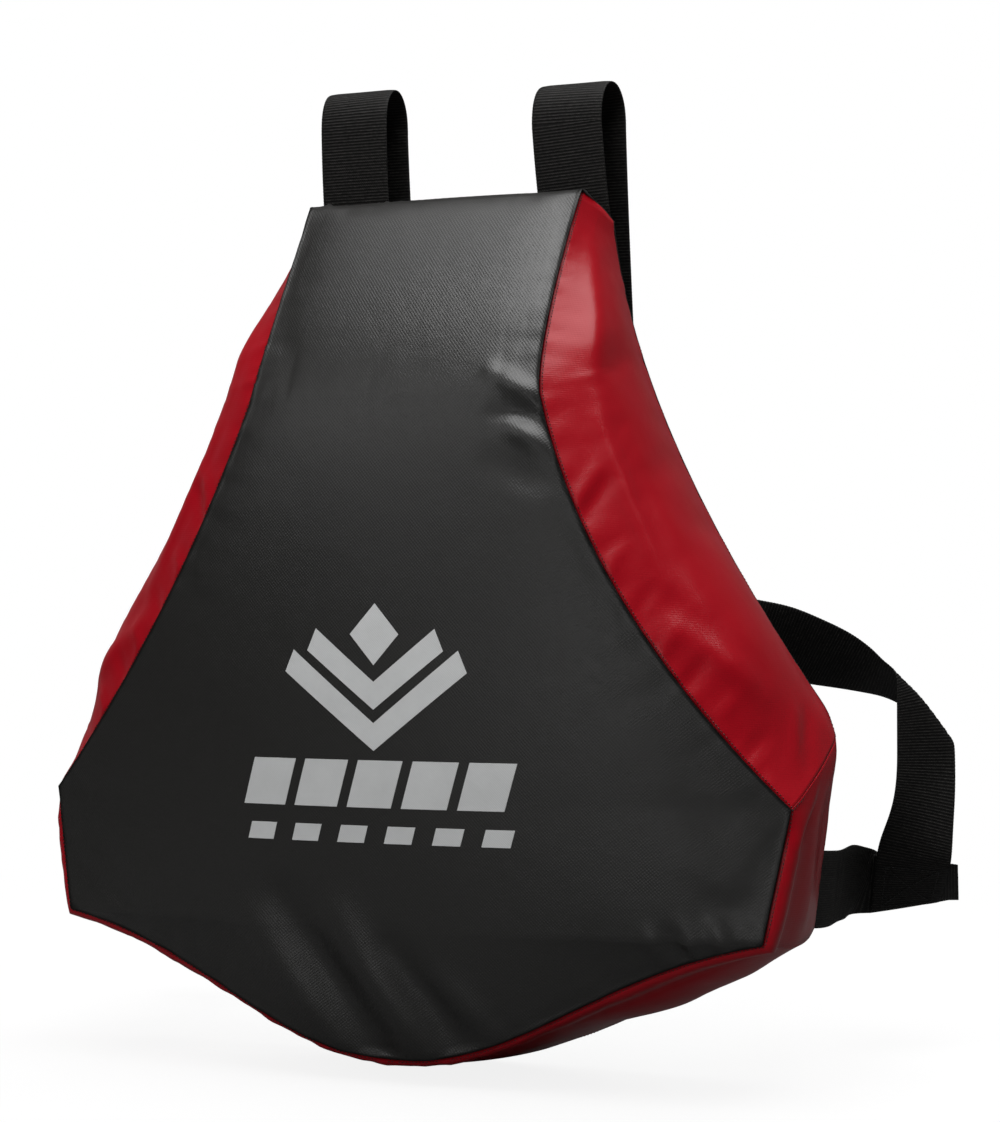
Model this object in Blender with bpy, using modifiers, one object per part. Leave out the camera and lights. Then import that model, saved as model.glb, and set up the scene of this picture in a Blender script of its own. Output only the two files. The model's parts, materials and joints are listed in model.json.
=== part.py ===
"""A wearable tackle bag: a foam-filled wedge pad in a sewn cover, carried on the chest by a webbing harness.

The frame's origin is the point on the flat back panel that rests on the wearer's chest. +X is to the right
of someone who looks at the front, +Y points from the pad to the wearer, and +Z is up.
"""

import math

import bmesh
import bpy
import numpy as np
from mathutils import Matrix, Vector

MM = 0.001

# Front seam of the pad, right half: heights, half widths and depths ahead of the flat back
PAD_HALF = 260 * MM
TOP_Z, TOP_HALF, TOP_DEPTH = 269 * MM, 99 * MM, 30 * MM
NECK_Z, NECK_IN, NECK_DEPTH = 160 * MM, 2 * MM, 104.5 * MM
BEND_Z, BEND_OUT, BEND_DEPTH = 130 * MM, 3.5 * MM, 110.5 * MM
WAIST_Z, WAIST_OUT, WAIST_DEPTH = -4.5 * MM, 43 * MM, 135.5 * MM
WING_Z, WING_DEPTH = -126 * MM, 92.5 * MM
CORNER_Z, CORNER_IN, CORNER_DEPTH = -210.5 * MM, 15.5 * MM, 101.5 * MM
SIDE_Z, SIDE_IN, SIDE_DEPTH = -232 * MM, 125.5 * MM, 99.5 * MM
BELLY_SWEEP, BELLY_SWEEP_DEPTH = 88 * MM, 111 * MM
BOTTOM_Z, BOTTOM_DEPTH = -293 * MM, 104.5 * MM

# How far the middle of the front panel stands ahead of its seams and of the flat back
CENTRE_BULGE, BELLY_DEPTH = 3 * MM, 155 * MM

# Flat back outline, right half, from the front seam's points
BACK_TOP_Z, BACK_TOP_HALF = TOP_Z - 18 * MM, TOP_HALF + 12 * MM
BACK_WAIST_Z, BACK_WAIST_HALF = BEND_Z - 20 * MM, TOP_HALF + 27 * MM
BACK_WING_Z, BACK_WING_HALF = WING_Z + 46 * MM, PAD_HALF
BACK_CORNER_Z, BACK_CORNER_HALF = CORNER_Z, PAD_HALF - 12.5 * MM
BACK_BOTTOM_Z = BOTTOM_Z - 13 * MM
BACK_SPLIT = 0.86
BACK_SIDE_SWEEP, BACK_SIDE_SWEEP_DROP = 83 * MM, 34 * MM
BACK_BELLY_SWEEP = 95 * MM

# Puff of the gusset, as (share of the way back, distance outwards) for its four inner rows
SECTION_TOP = ((0.20, 1 * MM), (0.40, 2 * MM), (0.60, 2 * MM), (0.80, 1 * MM))
SECTION_SIDE = ((0.10, 14 * MM), (0.21, 24 * MM), (0.47, 19 * MM), (0.74, 11 * MM))
SECTION_WING = ((0.12, 3 * MM), (0.39, 6 * MM), (0.60, 5 * MM), (0.80, 3 * MM))
SECTION_BAND = ((0.04, 5 * MM), (0.13, 7 * MM), (0.42, 6.5 * MM), (0.72, 5 * MM))

COVER = 1.2 * MM
FIT_GAP = 0.3 * MM
SEAM_PULL, UNDERCUT = 0.25 * MM, 1.5
MITRE_CUT = 0.15
FOAM_SPLIT_DEPTH = 70 * MM
PANEL_COLUMNS = 10
NECK_STEPS, FLARE_STEPS, WING_STEPS, BELLY_STEPS = 5, 8, 3, 8

# Webbing harness
WEB, WEB_THICK = 50 * MM, 2 * MM
STRAP_X = TOP_HALF - 20 * MM
ROOT_RISE, ROOT_OFF = 1.6 * MM, 1.3 * MM
LOOP_HIGH, LOOP_ARCH = 100 * MM, 29 * MM
LOOP_FRONT_Y, LOOP_BACK_Y = -6 * MM, 34 * MM
ROOT_SHARE, ROOT_STEPS, LOOP_STEPS, STRAP_STEPS = 0.4, 4, 10, 6
STRAP_DRIFT, STRAP_LEAVE, STRAP_LEAD = 0.03, 0.40, 0.25
BELT_Z, BELT_Y = -18 * MM, 73 * MM
BELT_FLAT_HALF = STRAP_X + WEB / 2 + 2 * MM
STRAP_FLAT_RISE = 45 * MM
STRAP_TAIL = 4 * MM
FOLD_X, FOLD_Y, FOLD_Z = PAD_HALF + 17 * MM, 158 * MM, -68.5 * MM
FOLD_PLAN_DEG, FOLD_OPEN_DEG = 52, 70
FOLD_RADIUS, FOLD_STEPS = 3 * MM, 6
FOLD_LEAD, BELT_LEAD, BELT_STEPS = 30 * MM, 45 * MM, 10

# The belt's hanging end: straight down, then curving in towards its lap on the side tab
DROP_LEAN_DEG, LAP_LEAN_DEG = 0, 40
DROP_BEND, BEND_LEAD, BEND_STEPS = 94 * MM, 15 * MM, 5
TAB_ROOT_Z, TAB_ROOT_OFF = CORNER_Z + WEB / 2 + 1.5 * MM, 0.8 * MM
TAB_LAP, TAB_END, TAB_FLAT = 42 * MM, 7 * MM, 2 * MM
TAB_LEAVE, TAB_LEAD, TAB_STEPS = 60 * MM, 30 * MM, 10

# Stitches through two layers of webbing: a box with a cross
STITCH_BOX, THREAD, THREAD_HIGH = 38 * MM, 1.6 * MM, 0.5 * MM
STITCH_SLANT = 0.75

# Zip across the lower back
ZIP_Z, ZIP_LENGTH, ZIP_OPENING = -165 * MM, 300 * MM, 15 * MM
TAPE_WIDE, TAPE_THICK, TAPE_PART = 14 * MM, 0.7 * MM, 0.4 * MM
TOOTH_PITCH, TOOTH_PART = 6 * MM, 0.45 * MM
TOOTH_REACH, TOOTH_ROOT, TOOTH_THICK = 1.6 * MM, 3.2 * MM, 1.6 * MM
STOP_LONG, STOP_WALL = 3 * MM, 0.8 * MM
SLIDER_LONG, SLIDER_WALL = 11 * MM, 1.4 * MM
PIN_RADIUS, PIN_CLEARANCE, EYE_WALL = 0.7 * MM, 0.3 * MM, 1.0 * MM
PULL_LONG, PULL_WIDE, PULL_THICK = 24 * MM, 8 * MM, 1.4 * MM
EYE_WIDE, LUG_WALL = 3.4 * MM, 1.2 * MM

BLACK_PVC = (0.022, 0.022, 0.023)
RED_PVC = (0.42, 0.006, 0.014)
BLACK_WEB = (0.010, 0.010, 0.010)
ZIP_BLACK = (0.014, 0.014, 0.015)
FOAM_WHITE = (0.62, 0.60, 0.54)
FOAM_GREY = (0.16, 0.16, 0.17)
STEEL = (0.38, 0.38, 0.40)


def clear_scene():
    """Remove whatever the new scene holds."""
    for obj in list(bpy.data.objects):
        bpy.data.objects.remove(obj, do_unlink=True)


def collection(name):
    """A new collection in the scene."""
    made = bpy.data.collections.new(name)
    bpy.context.scene.collection.children.link(made)
    return made


def material(name, colour, roughness, metallic=0.0):
    """A Principled material of one colour."""
    made = bpy.data.materials.new(name)
    made.use_nodes = True
    shader = made.node_tree.nodes["Principled BSDF"]
    shader.inputs["Base Color"].default_value = (*colour, 1.0)
    shader.inputs["Roughness"].default_value = roughness
    shader.inputs["Metallic"].default_value = metallic
    return made


def add_mesh(name, bm, look, smooth=False):
    """An object in the part's collection from a bmesh, with its normals facing out."""
    bmesh.ops.recalc_face_normals(bm, faces=bm.faces)
    mesh = bpy.data.meshes.new(name)
    bm.to_mesh(mesh)
    bm.free()
    if smooth:
        mesh.shade_smooth()
        mesh.set_sharp_from_angle(angle=math.radians(40))
    obj = bpy.data.objects.new(name, mesh)
    obj.data.materials.append(material(name, *look))
    PART.objects.link(obj)
    return obj


def box_mesh(low, high):
    """A bmesh of a box between two corners."""
    bm = bmesh.new()
    bmesh.ops.create_cube(bm, size=1.0)
    size = [b - a for a, b in zip(low, high)]
    centre = [(a + b) / 2 for a, b in zip(low, high)]
    for vert in bm.verts:
        vert.co = Vector(c + s * p for c, s, p in zip(centre, size, vert.co))
    return bm


def combine(target, others, operation):
    """Join or cut target with other objects, by Boolean modifiers."""
    for other in others:
        PART.objects.unlink(other)
        CUTTERS.objects.link(other)
        other.hide_render = True
        other.display_type = "WIRE"
        modifier = target.modifiers.new(other.name, "BOOLEAN")
        modifier.object = other
        modifier.operation = operation


def bezier(points, t):
    """The point at t on the Bezier curve of these control points."""
    points = [Vector(p) for p in points]
    while len(points) > 1:
        points = [a.lerp(b, t) for a, b in zip(points, points[1:])]
    return points[0]


def smooth(t):
    """An ease from 0 to 1."""
    return t * t * (3 - 2 * t)


# The pad: its seams, its gusset rows and its closed form


def front_seam():
    """Right half of the front seam, from the top corner round to the middle of the bottom."""
    top = (TOP_HALF, -TOP_DEPTH, TOP_Z)
    neck = (TOP_HALF - NECK_IN, -NECK_DEPTH, NECK_Z)
    bend = (TOP_HALF + BEND_OUT, -BEND_DEPTH, BEND_Z)
    waist = (TOP_HALF + WAIST_OUT, -WAIST_DEPTH, WAIST_Z)
    wing = (PAD_HALF, -WING_DEPTH, WING_Z)
    corner = (PAD_HALF - CORNER_IN, -CORNER_DEPTH, CORNER_Z)
    side = (PAD_HALF - SIDE_IN, -SIDE_DEPTH, SIDE_Z)
    belly = (BELLY_SWEEP, -BELLY_SWEEP_DEPTH, BOTTOM_Z)
    bottom = (0, -BOTTOM_DEPTH, BOTTOM_Z)
    return seam_points((top, neck, bend), (bend, waist, wing), (wing, corner), (corner, side, belly, bottom))


def back_seam():
    """Right half of the back seam, with a point for each point of the front seam."""
    top = Vector((BACK_TOP_HALF, 0, BACK_TOP_Z))
    waist = Vector((BACK_WAIST_HALF, 0, BACK_WAIST_Z))
    wing = Vector((BACK_WING_HALF, 0, BACK_WING_Z))
    share = NECK_STEPS / (NECK_STEPS + FLARE_STEPS) * BACK_SPLIT
    first, middle = top.lerp(waist, share), waist.lerp(wing, share)
    split = first.lerp(middle, share)
    corner = (BACK_CORNER_HALF, 0, BACK_CORNER_Z)
    side = (BACK_CORNER_HALF - BACK_SIDE_SWEEP, 0, BACK_CORNER_Z - BACK_SIDE_SWEEP_DROP)
    belly = (BACK_BELLY_SWEEP, 0, BACK_BOTTOM_Z)
    bottom = (0, 0, BACK_BOTTOM_Z)
    return seam_points((top, first, split), (split, middle, wing), (wing, corner), (corner, side, belly, bottom))


def seam_points(neck, flare, wing, belly):
    """Points along the four stretches of a seam."""
    points = []
    stretches = ((neck, NECK_STEPS), (flare, FLARE_STEPS), (wing, WING_STEPS), (belly, BELLY_STEPS))
    for curve, steps in stretches:
        points += [bezier(curve, i / steps) for i in range(steps)]
    return points + [bezier(belly, 1.0)]


def section_at(station):
    """How the gusset puffs at a station of the seam."""
    wing = NECK_STEPS + FLARE_STEPS
    keys = (
        (0, SECTION_TOP),
        (NECK_STEPS + 1, SECTION_SIDE),
        (wing - 6, SECTION_SIDE),
        (wing, SECTION_WING),
        (wing + 1, SECTION_BAND),
        (wing + WING_STEPS + BELLY_STEPS, SECTION_BAND),
    )
    for (low, a), (high, b) in zip(keys, keys[1:]):
        if station <= high:
            t = smooth((station - low) / (high - low))
            return [(f + (g - f) * t, p + (q - p) * t) for (f, p), (g, q) in zip(a, b)]
    return list(SECTION_BAND)


def gusset_rows(front, back):
    """The four inner points between the seams at each station, each pushed outwards by its puff."""
    rows = []
    for i, (f, b) in enumerate(zip(front, back)):
        before, after = front[max(i - 1, 0)], front[min(i + 1, len(front) - 1)]
        along = after - before
        out = Vector((-along.z, 0, along.x)).normalized()
        if i == len(front) - 1:
            out = Vector((0, 0, -1))
        rows.append([f.lerp(b, share) + out * puff for share, puff in section_at(i)])
    return rows


def middle_depth(z):
    """How far the middle of the front panel stands ahead of the back, at height z."""
    bend = (0, BEND_DEPTH + CENTRE_BULGE, BEND_Z)
    upper = ((0, TOP_DEPTH, TOP_Z), (0, NECK_DEPTH + CENTRE_BULGE, NECK_Z), bend)
    middle = (BEND_Z + BOTTOM_Z) / 2
    lower = (bend, (0, BELLY_DEPTH, middle), (0, BOTTOM_DEPTH, BOTTOM_Z))
    curve = upper if z > BEND_Z else lower
    low, high = 0.0, 1.0
    for _ in range(30):
        half = (low + high) / 2
        if bezier(curve, half).z > z:
            low = half
        else:
            high = half
    return bezier(curve, low).y


def closed_form():
    """The pad's closed outer form, as a bmesh whose faces carry their panel's number."""
    front, back = front_seam(), back_seam()
    rows = gusset_rows(front, back)
    count, columns = len(front), PANEL_COLUMNS
    bm = bmesh.new()
    panel = bm.faces.layers.int.new("panel")
    made = {}

    def vert(key, co):
        if key not in made:
            made[key] = bm.verts.new(co)
        return made[key]

    def face(corners, number):
        corners = [c for i, c in enumerate(corners) if c not in corners[:i]]
        if len(corners) > 2:
            bm.faces.new(corners)[panel] = number

    def seam_vert(side, i, row):
        """A point of the loops round the gusset: row 0 is the front seam and row 5 the back seam."""
        ladder = [front[i], *rows[i], back[i]]
        co = ladder[row]
        if i == count - 1:
            return vert(("bottom", row), Vector((0, co.y, co.z)))
        return vert((side, i, row), Vector((side * co.x, co.y, co.z)))

    def across(kind, i, column, row):
        """A point of a row that runs from the left seam to the right one."""
        if column in (0, columns):
            return seam_vert(-1 if column == 0 else 1, i, row)
        left, right = seam_vert(-1, i, row).co, seam_vert(1, i, row).co
        share = column / columns
        co = left.lerp(right, share)
        if kind == "front" and i < count - 1:
            co.y -= (middle_depth(co.z) + left.y) * (1 - (2 * share - 1) ** 2)
        if i == count - 1:
            return seam_vert(1, i, row)
        return vert((kind, i, column, row), co)

    for i in range(count - 1):
        for c in range(columns):
            grid = ((i, c), (i + 1, c), (i + 1, c + 1), (i, c + 1))
            face([across("front", a, b, 0) for a, b in grid], FRONT)
            face([across("back", a, b, 5) for a, b in reversed(grid)], BACK)
    for row in range(5):
        for c in range(columns):
            grid = ((row + 1, c), (row, c), (row, c + 1), (row + 1, c + 1))
            kinds = {0: "front", 5: "back"}
            face([across(kinds.get(r, "top"), 0, b, r) for r, b in grid], FRONT)
    for side in (-1, 1):
        for i in range(count - 1):
            number = BAND if i >= NECK_STEPS + FLARE_STEPS else (LEFT if side < 0 else RIGHT)
            for row in range(5):
                grid = ((i, row), (i, row + 1), (i + 1, row + 1), (i + 1, row))
                face([seam_vert(side, a, b) for a, b in grid], number)
    bmesh.ops.triangulate(bm, faces=bm.faces, quad_method="SHORT_EDGE")
    bmesh.ops.recalc_face_normals(bm, faces=bm.faces)
    bm.normal_update()
    return bm


FRONT, LEFT, RIGHT, BAND, BACK = range(5)


def inset_points(bm, depth):
    """Each vertex moved inwards so that the planes of its faces move by depth, a mitre where panels meet."""
    moved = {}
    for v in bm.verts:
        normals = np.array([f.normal for f in v.link_faces])
        step = np.linalg.pinv(normals, rcond=MITRE_CUT) @ np.full(len(normals), -depth)
        moved[v] = v.co + Vector(step)
    return moved


def cover_panel(name, form, number, look):
    """One sewn panel of the cover: its faces of the form, thickened inwards, its edges clear of the seams."""
    panel = form.faces.layers.int["panel"]
    faces = [f for f in form.faces if f[panel] == number]
    inner = inset_points(form, COVER)
    edges = {}
    for f in faces:
        for loop in f.loops:
            edges.setdefault(loop.edge, []).append(loop)
    rims = [loops[0] for loops in edges.values() if len(loops) == 1]
    pull = {}
    for loop in rims:
        a, b = loop.vert, loop.link_loop_next.vert
        inwards = loop.face.normal.cross(b.co - a.co).normalized()
        for v in (a, b):
            pull.setdefault(v, []).append(inwards)
    shift = {}
    for v, ways in pull.items():
        total = sum(ways, Vector())
        mean = total.normalized()
        shift[v] = mean * SEAM_PULL / max(0.5, min(mean.dot(w) for w in ways))
    bm = bmesh.new()
    outside, inside = {}, {}
    for f in faces:
        for v in f.verts:
            if v not in outside:
                move = shift.get(v, Vector())
                outside[v] = bm.verts.new(v.co + move)
                inside[v] = bm.verts.new(inner[v] + move * UNDERCUT)
    for f in faces:
        bm.faces.new([outside[v] for v in f.verts])
        bm.faces.new([inside[v] for v in reversed(f.verts)])
    for loop in rims:
        a, b = loop.vert, loop.link_loop_next.vert
        bm.faces.new([outside[b], outside[a], inside[a], inside[b]])
    return add_mesh(name, bm, look, smooth=True)


def foam_block(name, form, low_y, high_y, look):
    """The stretch of the filling between two depths."""
    inner = inset_points(form, COVER + FIT_GAP)
    bm = bmesh.new()
    copy = {v: bm.verts.new(co) for v, co in inner.items()}
    for f in form.faces:
        bm.faces.new([copy[v] for v in f.verts])
    for y, normal in ((low_y, (0, -1, 0)), (high_y, (0, 1, 0))):
        if y is None:
            continue
        everything = list(bm.verts) + list(bm.edges) + list(bm.faces)
        bmesh.ops.bisect_plane(bm, geom=everything, plane_co=(0, y, 0), plane_no=normal, clear_outer=True)
        open_edges = [e for e in bm.edges if e.is_boundary]
        bmesh.ops.holes_fill(bm, edges=open_edges, sides=0)
    return add_mesh(name, bm, look, smooth=True)


def build_pad():
    """The cover's panels and the two blocks of foam that fill it."""
    form = closed_form()
    black, red = (BLACK_PVC, 0.38), (RED_PVC, 0.25)
    cover_panel("front_panel", form, FRONT, black)
    cover_panel("left_side_gusset", form, LEFT, red)
    cover_panel("right_side_gusset", form, RIGHT, red)
    cover_panel("lower_gusset", form, BAND, red)
    back = cover_panel("back_panel", form, BACK, black)
    half = FIT_GAP / 2
    foam_block("strike_foam", form, None, -FOAM_SPLIT_DEPTH - half, (FOAM_WHITE, 0.95))
    body = foam_block("body_foam", form, -FOAM_SPLIT_DEPTH + half, None, (FOAM_GREY, 0.95))
    form.free()
    window = box_mesh(
        (-ZIP_LENGTH / 2, -2 * COVER, ZIP_Z - ZIP_OPENING / 2),
        (ZIP_LENGTH / 2, COVER, ZIP_Z + ZIP_OPENING / 2),
    )
    combine(back, [add_mesh("zip_window", window, (BLACK_PVC, 0.4))], "DIFFERENCE")
    reach = TAPE_PART + TAPE_WIDE + FIT_GAP
    pocket = box_mesh(
        (-ZIP_LENGTH / 2 - 2 * STOP_LONG, -COVER - 3 * FIT_GAP - TAPE_THICK, ZIP_Z - reach),
        (ZIP_LENGTH / 2 + 2 * STOP_LONG, COVER, ZIP_Z + reach),
    )
    combine(body, [add_mesh("zip_pocket", pocket, (FOAM_GREY, 0.9))], "DIFFERENCE")


# The zip


def flat_outline(name, outline, holes, thick, look, place):
    """A flat piece: a filled outline with holes, given half its thickness each way, then placed."""
    curve = bpy.data.curves.new(name, "CURVE")
    curve.dimensions = "2D"
    curve.fill_mode = "BOTH"
    curve.extrude = thick / 2
    for points in (outline, *holes):
        spline = curve.splines.new("POLY")
        spline.points.add(len(points) - 1)
        spline.use_cyclic_u = True
        for point, (x, y) in zip(spline.points, points):
            point.co = (x, y, 0, 1)
    obj = bpy.data.objects.new(name, curve)
    obj.matrix_world = place
    curve.materials.append(material(name, *look))
    PART.objects.link(obj)
    return obj


def facing_back(x, y, z):
    """Places a flat outline on the back: its x along X, its y along Z and its thickness along Y."""
    turn = Matrix(((1, 0, 0), (0, 0, 1), (0, 1, 0))).to_4x4()
    return Matrix.Translation((x, y, z)) @ turn


def teeth_outline(side):
    """One row of the zip's teeth, as a comb that meshes with the other row."""
    root, base, tip = side * TOOTH_ROOT, side * TOOTH_REACH / 2, -side * TOOTH_REACH / 2
    room = ZIP_LENGTH - 2 * (STOP_LONG + 2 * FIT_GAP)
    count = int(room / TOOTH_PITCH - 0.5)
    half = TOOTH_PITCH / 4 - TOOTH_PART / 2
    span = (count + 0.5) * TOOTH_PITCH
    first = -span / 2 + TOOTH_PITCH * (0.25 if side > 0 else 0.75)
    points = [(-span / 2, root), (-span / 2, base)]
    for i in range(count):
        centre = first + i * TOOTH_PITCH
        points += [(centre - half, base), (centre - half, tip), (centre + half, tip), (centre + half, base)]
    points += [(span / 2, base), (span / 2, root)]
    return points


def build_zip():
    """The zip: two tapes behind the back panel, two rows of teeth, two stops, the slider and its pull."""
    black = (ZIP_BLACK, 0.6)
    tape_y = -COVER - FIT_GAP - TAPE_THICK / 2
    teeth_low = tape_y + TAPE_THICK / 2 + FIT_GAP
    teeth_top = teeth_low + TOOTH_THICK
    for side, where in ((1, "upper"), (-1, "lower")):
        edges = sorted((ZIP_Z + side * TAPE_PART, ZIP_Z + side * (TAPE_PART + TAPE_WIDE)))
        low = (-ZIP_LENGTH / 2 - STOP_LONG, tape_y - TAPE_THICK / 2, edges[0])
        high = (ZIP_LENGTH / 2 + STOP_LONG, tape_y + TAPE_THICK / 2, edges[1])
        add_mesh(f"zip_tape_{where}", box_mesh(low, high), black)
        place = facing_back(0, (teeth_low + teeth_top) / 2, ZIP_Z)
        flat_outline(f"zip_teeth_{where}", teeth_outline(side), (), TOOTH_THICK, (ZIP_BLACK, 0.35), place)
    for side, where in ((-1, "left"), (1, "right")):
        outer = side * (ZIP_LENGTH / 2 - FIT_GAP)
        ends = sorted((outer, outer - side * STOP_LONG))
        stop = box_mesh(
            (ends[0], teeth_low, ZIP_Z - TOOTH_ROOT - STOP_WALL),
            (ends[1], teeth_top, ZIP_Z + TOOTH_ROOT + STOP_WALL),
        )
        add_mesh(f"zip_stop_{where}", stop, black)
    build_slider(teeth_low, teeth_top)


def build_slider(teeth_low, teeth_top):
    """The slider that straddles the teeth, and the pull that swings on its pin."""
    steel = (STEEL, 0.35, 1.0)
    centre_x = -ZIP_LENGTH / 2 + STOP_LONG + 2 * FIT_GAP + SLIDER_LONG / 2
    low_x, high_x = centre_x - SLIDER_LONG / 2, centre_x + SLIDER_LONG / 2
    plate_low = teeth_top + FIT_GAP
    plate_top = plate_low + SLIDER_WALL
    inner = TOOTH_ROOT + FIT_GAP
    outer = inner + SLIDER_WALL
    slider = add_mesh(
        "zip_slider",
        box_mesh((low_x, plate_low, ZIP_Z - outer), (high_x, plate_top, ZIP_Z + outer)),
        steel,
    )
    eye = PIN_RADIUS + PIN_CLEARANCE + EYE_WALL
    pin_y = plate_top + FIT_GAP + eye
    lug_in = EYE_WIDE / 2 + FIT_GAP
    pieces = []
    for side in (-1, 1):
        walls = sorted((ZIP_Z + side * inner, ZIP_Z + side * outer))
        flange = box_mesh((low_x, teeth_low, walls[0]), (high_x, plate_low + SLIDER_WALL / 2, walls[1]))
        pieces.append(add_mesh(f"slider_flange_{side}", flange, steel))
        lugs = sorted((ZIP_Z + side * lug_in, ZIP_Z + side * (lug_in + LUG_WALL)))
        lug = box_mesh(
            (centre_x - eye, plate_low + SLIDER_WALL / 2, lugs[0]),
            (centre_x + eye, pin_y + PIN_RADIUS, lugs[1]),
        )
        pieces.append(add_mesh(f"slider_lug_{side}", lug, steel))
    pin = bmesh.new()
    span = 2 * lug_in + LUG_WALL
    bmesh.ops.create_cone(
        pin, cap_ends=True, segments=12, radius1=PIN_RADIUS, radius2=PIN_RADIUS, depth=span,
        matrix=Matrix.Translation((centre_x, pin_y, ZIP_Z)),
    )
    pieces.append(add_mesh("slider_pin", pin, steel))
    combine(slider, pieces, "UNION")
    build_pull(centre_x, pin_y, eye)


def build_pull(x, y, eye):
    """The pull: an eye round the slider's pin with a flat tab, lying along the closed teeth."""
    axle = bpy.data.objects.new("zip_pull_axle", None)
    axle.location = (x, y, ZIP_Z)
    PART.objects.link(axle)
    steel = (STEEL, 0.35, 1.0)
    body = bmesh.new()
    bmesh.ops.create_cone(body, cap_ends=True, segments=16, radius1=eye, radius2=eye, depth=EYE_WIDE)
    pull = add_mesh("zip_pull", body, steel, smooth=True)
    pull.parent = axle
    neck = box_mesh((0, -PULL_THICK / 2, -EYE_WIDE / 2), (eye + 3 * MM, PULL_THICK / 2, EYE_WIDE / 2))
    clear = eye + FIT_GAP
    tab = box_mesh((clear, -PULL_THICK / 2, -PULL_WIDE / 2), (PULL_LONG, PULL_THICK / 2, PULL_WIDE / 2))
    bore = bmesh.new()
    bmesh.ops.create_cone(
        bore, cap_ends=True, segments=16, radius1=PIN_RADIUS + PIN_CLEARANCE,
        radius2=PIN_RADIUS + PIN_CLEARANCE, depth=2 * EYE_WIDE,
    )
    pieces = [add_mesh("pull_neck", neck, steel), add_mesh("pull_tab", tab, steel)]
    drill = add_mesh("pull_bore", bore, steel)
    for piece in (*pieces, drill):
        piece.parent = axle
    combine(pull, pieces, "UNION")
    combine(pull, [drill], "DIFFERENCE")


# The harness


def ribbon(name, rows, look, open_start=False):
    """A webbing solid through rows of (one edge, the other edge, face normal)."""
    bm = bmesh.new()
    rings = []
    for one, other, normal in rows:
        half = normal.normalized() * WEB_THICK / 2
        rings.append([bm.verts.new(p) for p in (one + half, other + half, other - half, one - half)])
    for a, b in zip(rings, rings[1:]):
        for i in range(4):
            j = (i + 1) % 4
            bm.faces.new([a[i], a[j], b[j], b[i]])
    if not open_start:
        bm.faces.new(list(reversed(rings[0])))
    bm.faces.new(rings[-1])
    return add_mesh(name, bm, look)


def straight_rows(centres, across):
    """Rows square to a path, each half the webbing's width to either side along its across direction."""
    rows = []
    for i, centre in enumerate(centres):
        along = (centres[min(i + 1, len(centres) - 1)] - centres[max(i - 1, 0)]).normalized()
        side = across[i] - along * across[i].dot(along)
        side = side.normalized() * WEB / 2
        rows.append((centre - side, centre + side, along.cross(side)))
    return rows


def strap_path(x):
    """A shoulder strap's centre line: up from the top seam, over its loop and down to the back belt."""
    root = Vector((x, ROOT_OFF, BACK_TOP_Z + ROOT_RISE))
    shoulder_z = BACK_TOP_Z + LOOP_HIGH - LOOP_ARCH
    front = Vector((x, LOOP_FRONT_Y, shoulder_z))
    rise = root.lerp(front, ROOT_SHARE) + Vector((0, LOOP_FRONT_Y / 2, 0))
    points = [bezier((root, rise, front), i / ROOT_STEPS) for i in range(ROOT_STEPS)]
    middle, reach = (LOOP_FRONT_Y + LOOP_BACK_Y) / 2, (LOOP_BACK_Y - LOOP_FRONT_Y) / 2
    for i in range(LOOP_STEPS + 1):
        turn = math.pi * (1 - i / LOOP_STEPS)
        high = LOOP_ARCH * math.sin(turn)
        points.append(Vector((x, middle + reach * math.cos(turn), shoulder_z + high)))
    flat_y = BELT_Y - WEB_THICK - FIT_GAP
    flat_z = BELT_Z + STRAP_FLAT_RISE
    back, flat = points[-1], Vector((x, flat_y, flat_z))
    run = back.z - flat.z
    lead = Vector((x, flat.y, flat.z + run * STRAP_LEAD))
    leave = Vector((x, back.y + STRAP_DRIFT * run, back.z - run * STRAP_LEAVE))
    points += [bezier((back, leave, lead, flat), i / STRAP_STEPS) for i in range(1, STRAP_STEPS + 1)]
    points.append(Vector((x, flat_y, BELT_Z - WEB / 2 - STRAP_TAIL)))
    return points


def fold_frame():
    """Where the belt folds: the strip's directions before and after, and the crease's own frame."""
    plan = math.radians(FOLD_PLAN_DEG)
    outwards = Vector((math.cos(plan), math.sin(plan), 0))
    facing = Vector((math.sin(plan), -math.cos(plan), 0))
    lean = math.radians(DROP_LEAN_DEG)
    down = Vector((0, 0, -math.cos(lean))) - facing * math.sin(lean)
    turn = math.pi - math.radians(FOLD_OPEN_DEG)
    crease = (down + outwards).normalized()
    after = (down - outwards).normalized()
    normal_after = after.cross(crease)
    before = after * math.cos(turn) - normal_after * math.sin(turn)
    normal = after * math.sin(turn) + normal_after * math.cos(turn)
    if (crease + before).dot(facing) < 0:
        normal_after = -normal_after
        before = after * math.cos(turn) - normal_after * math.sin(turn)
        normal = after * math.sin(turn) + normal_after * math.cos(turn)
    frame = {"turn": turn, "crease": crease, "before": before, "normal": normal, "down": down, "outwards": outwards}
    arc = FOLD_RADIUS * turn * math.sqrt(2)
    left, face = folded(frame, arc + FOLD_LEAD, 0)
    frame["middle"] = left - down * FOLD_LEAD
    frame["facing"] = face if face.dot(facing) > 0 else -face
    return frame


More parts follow.
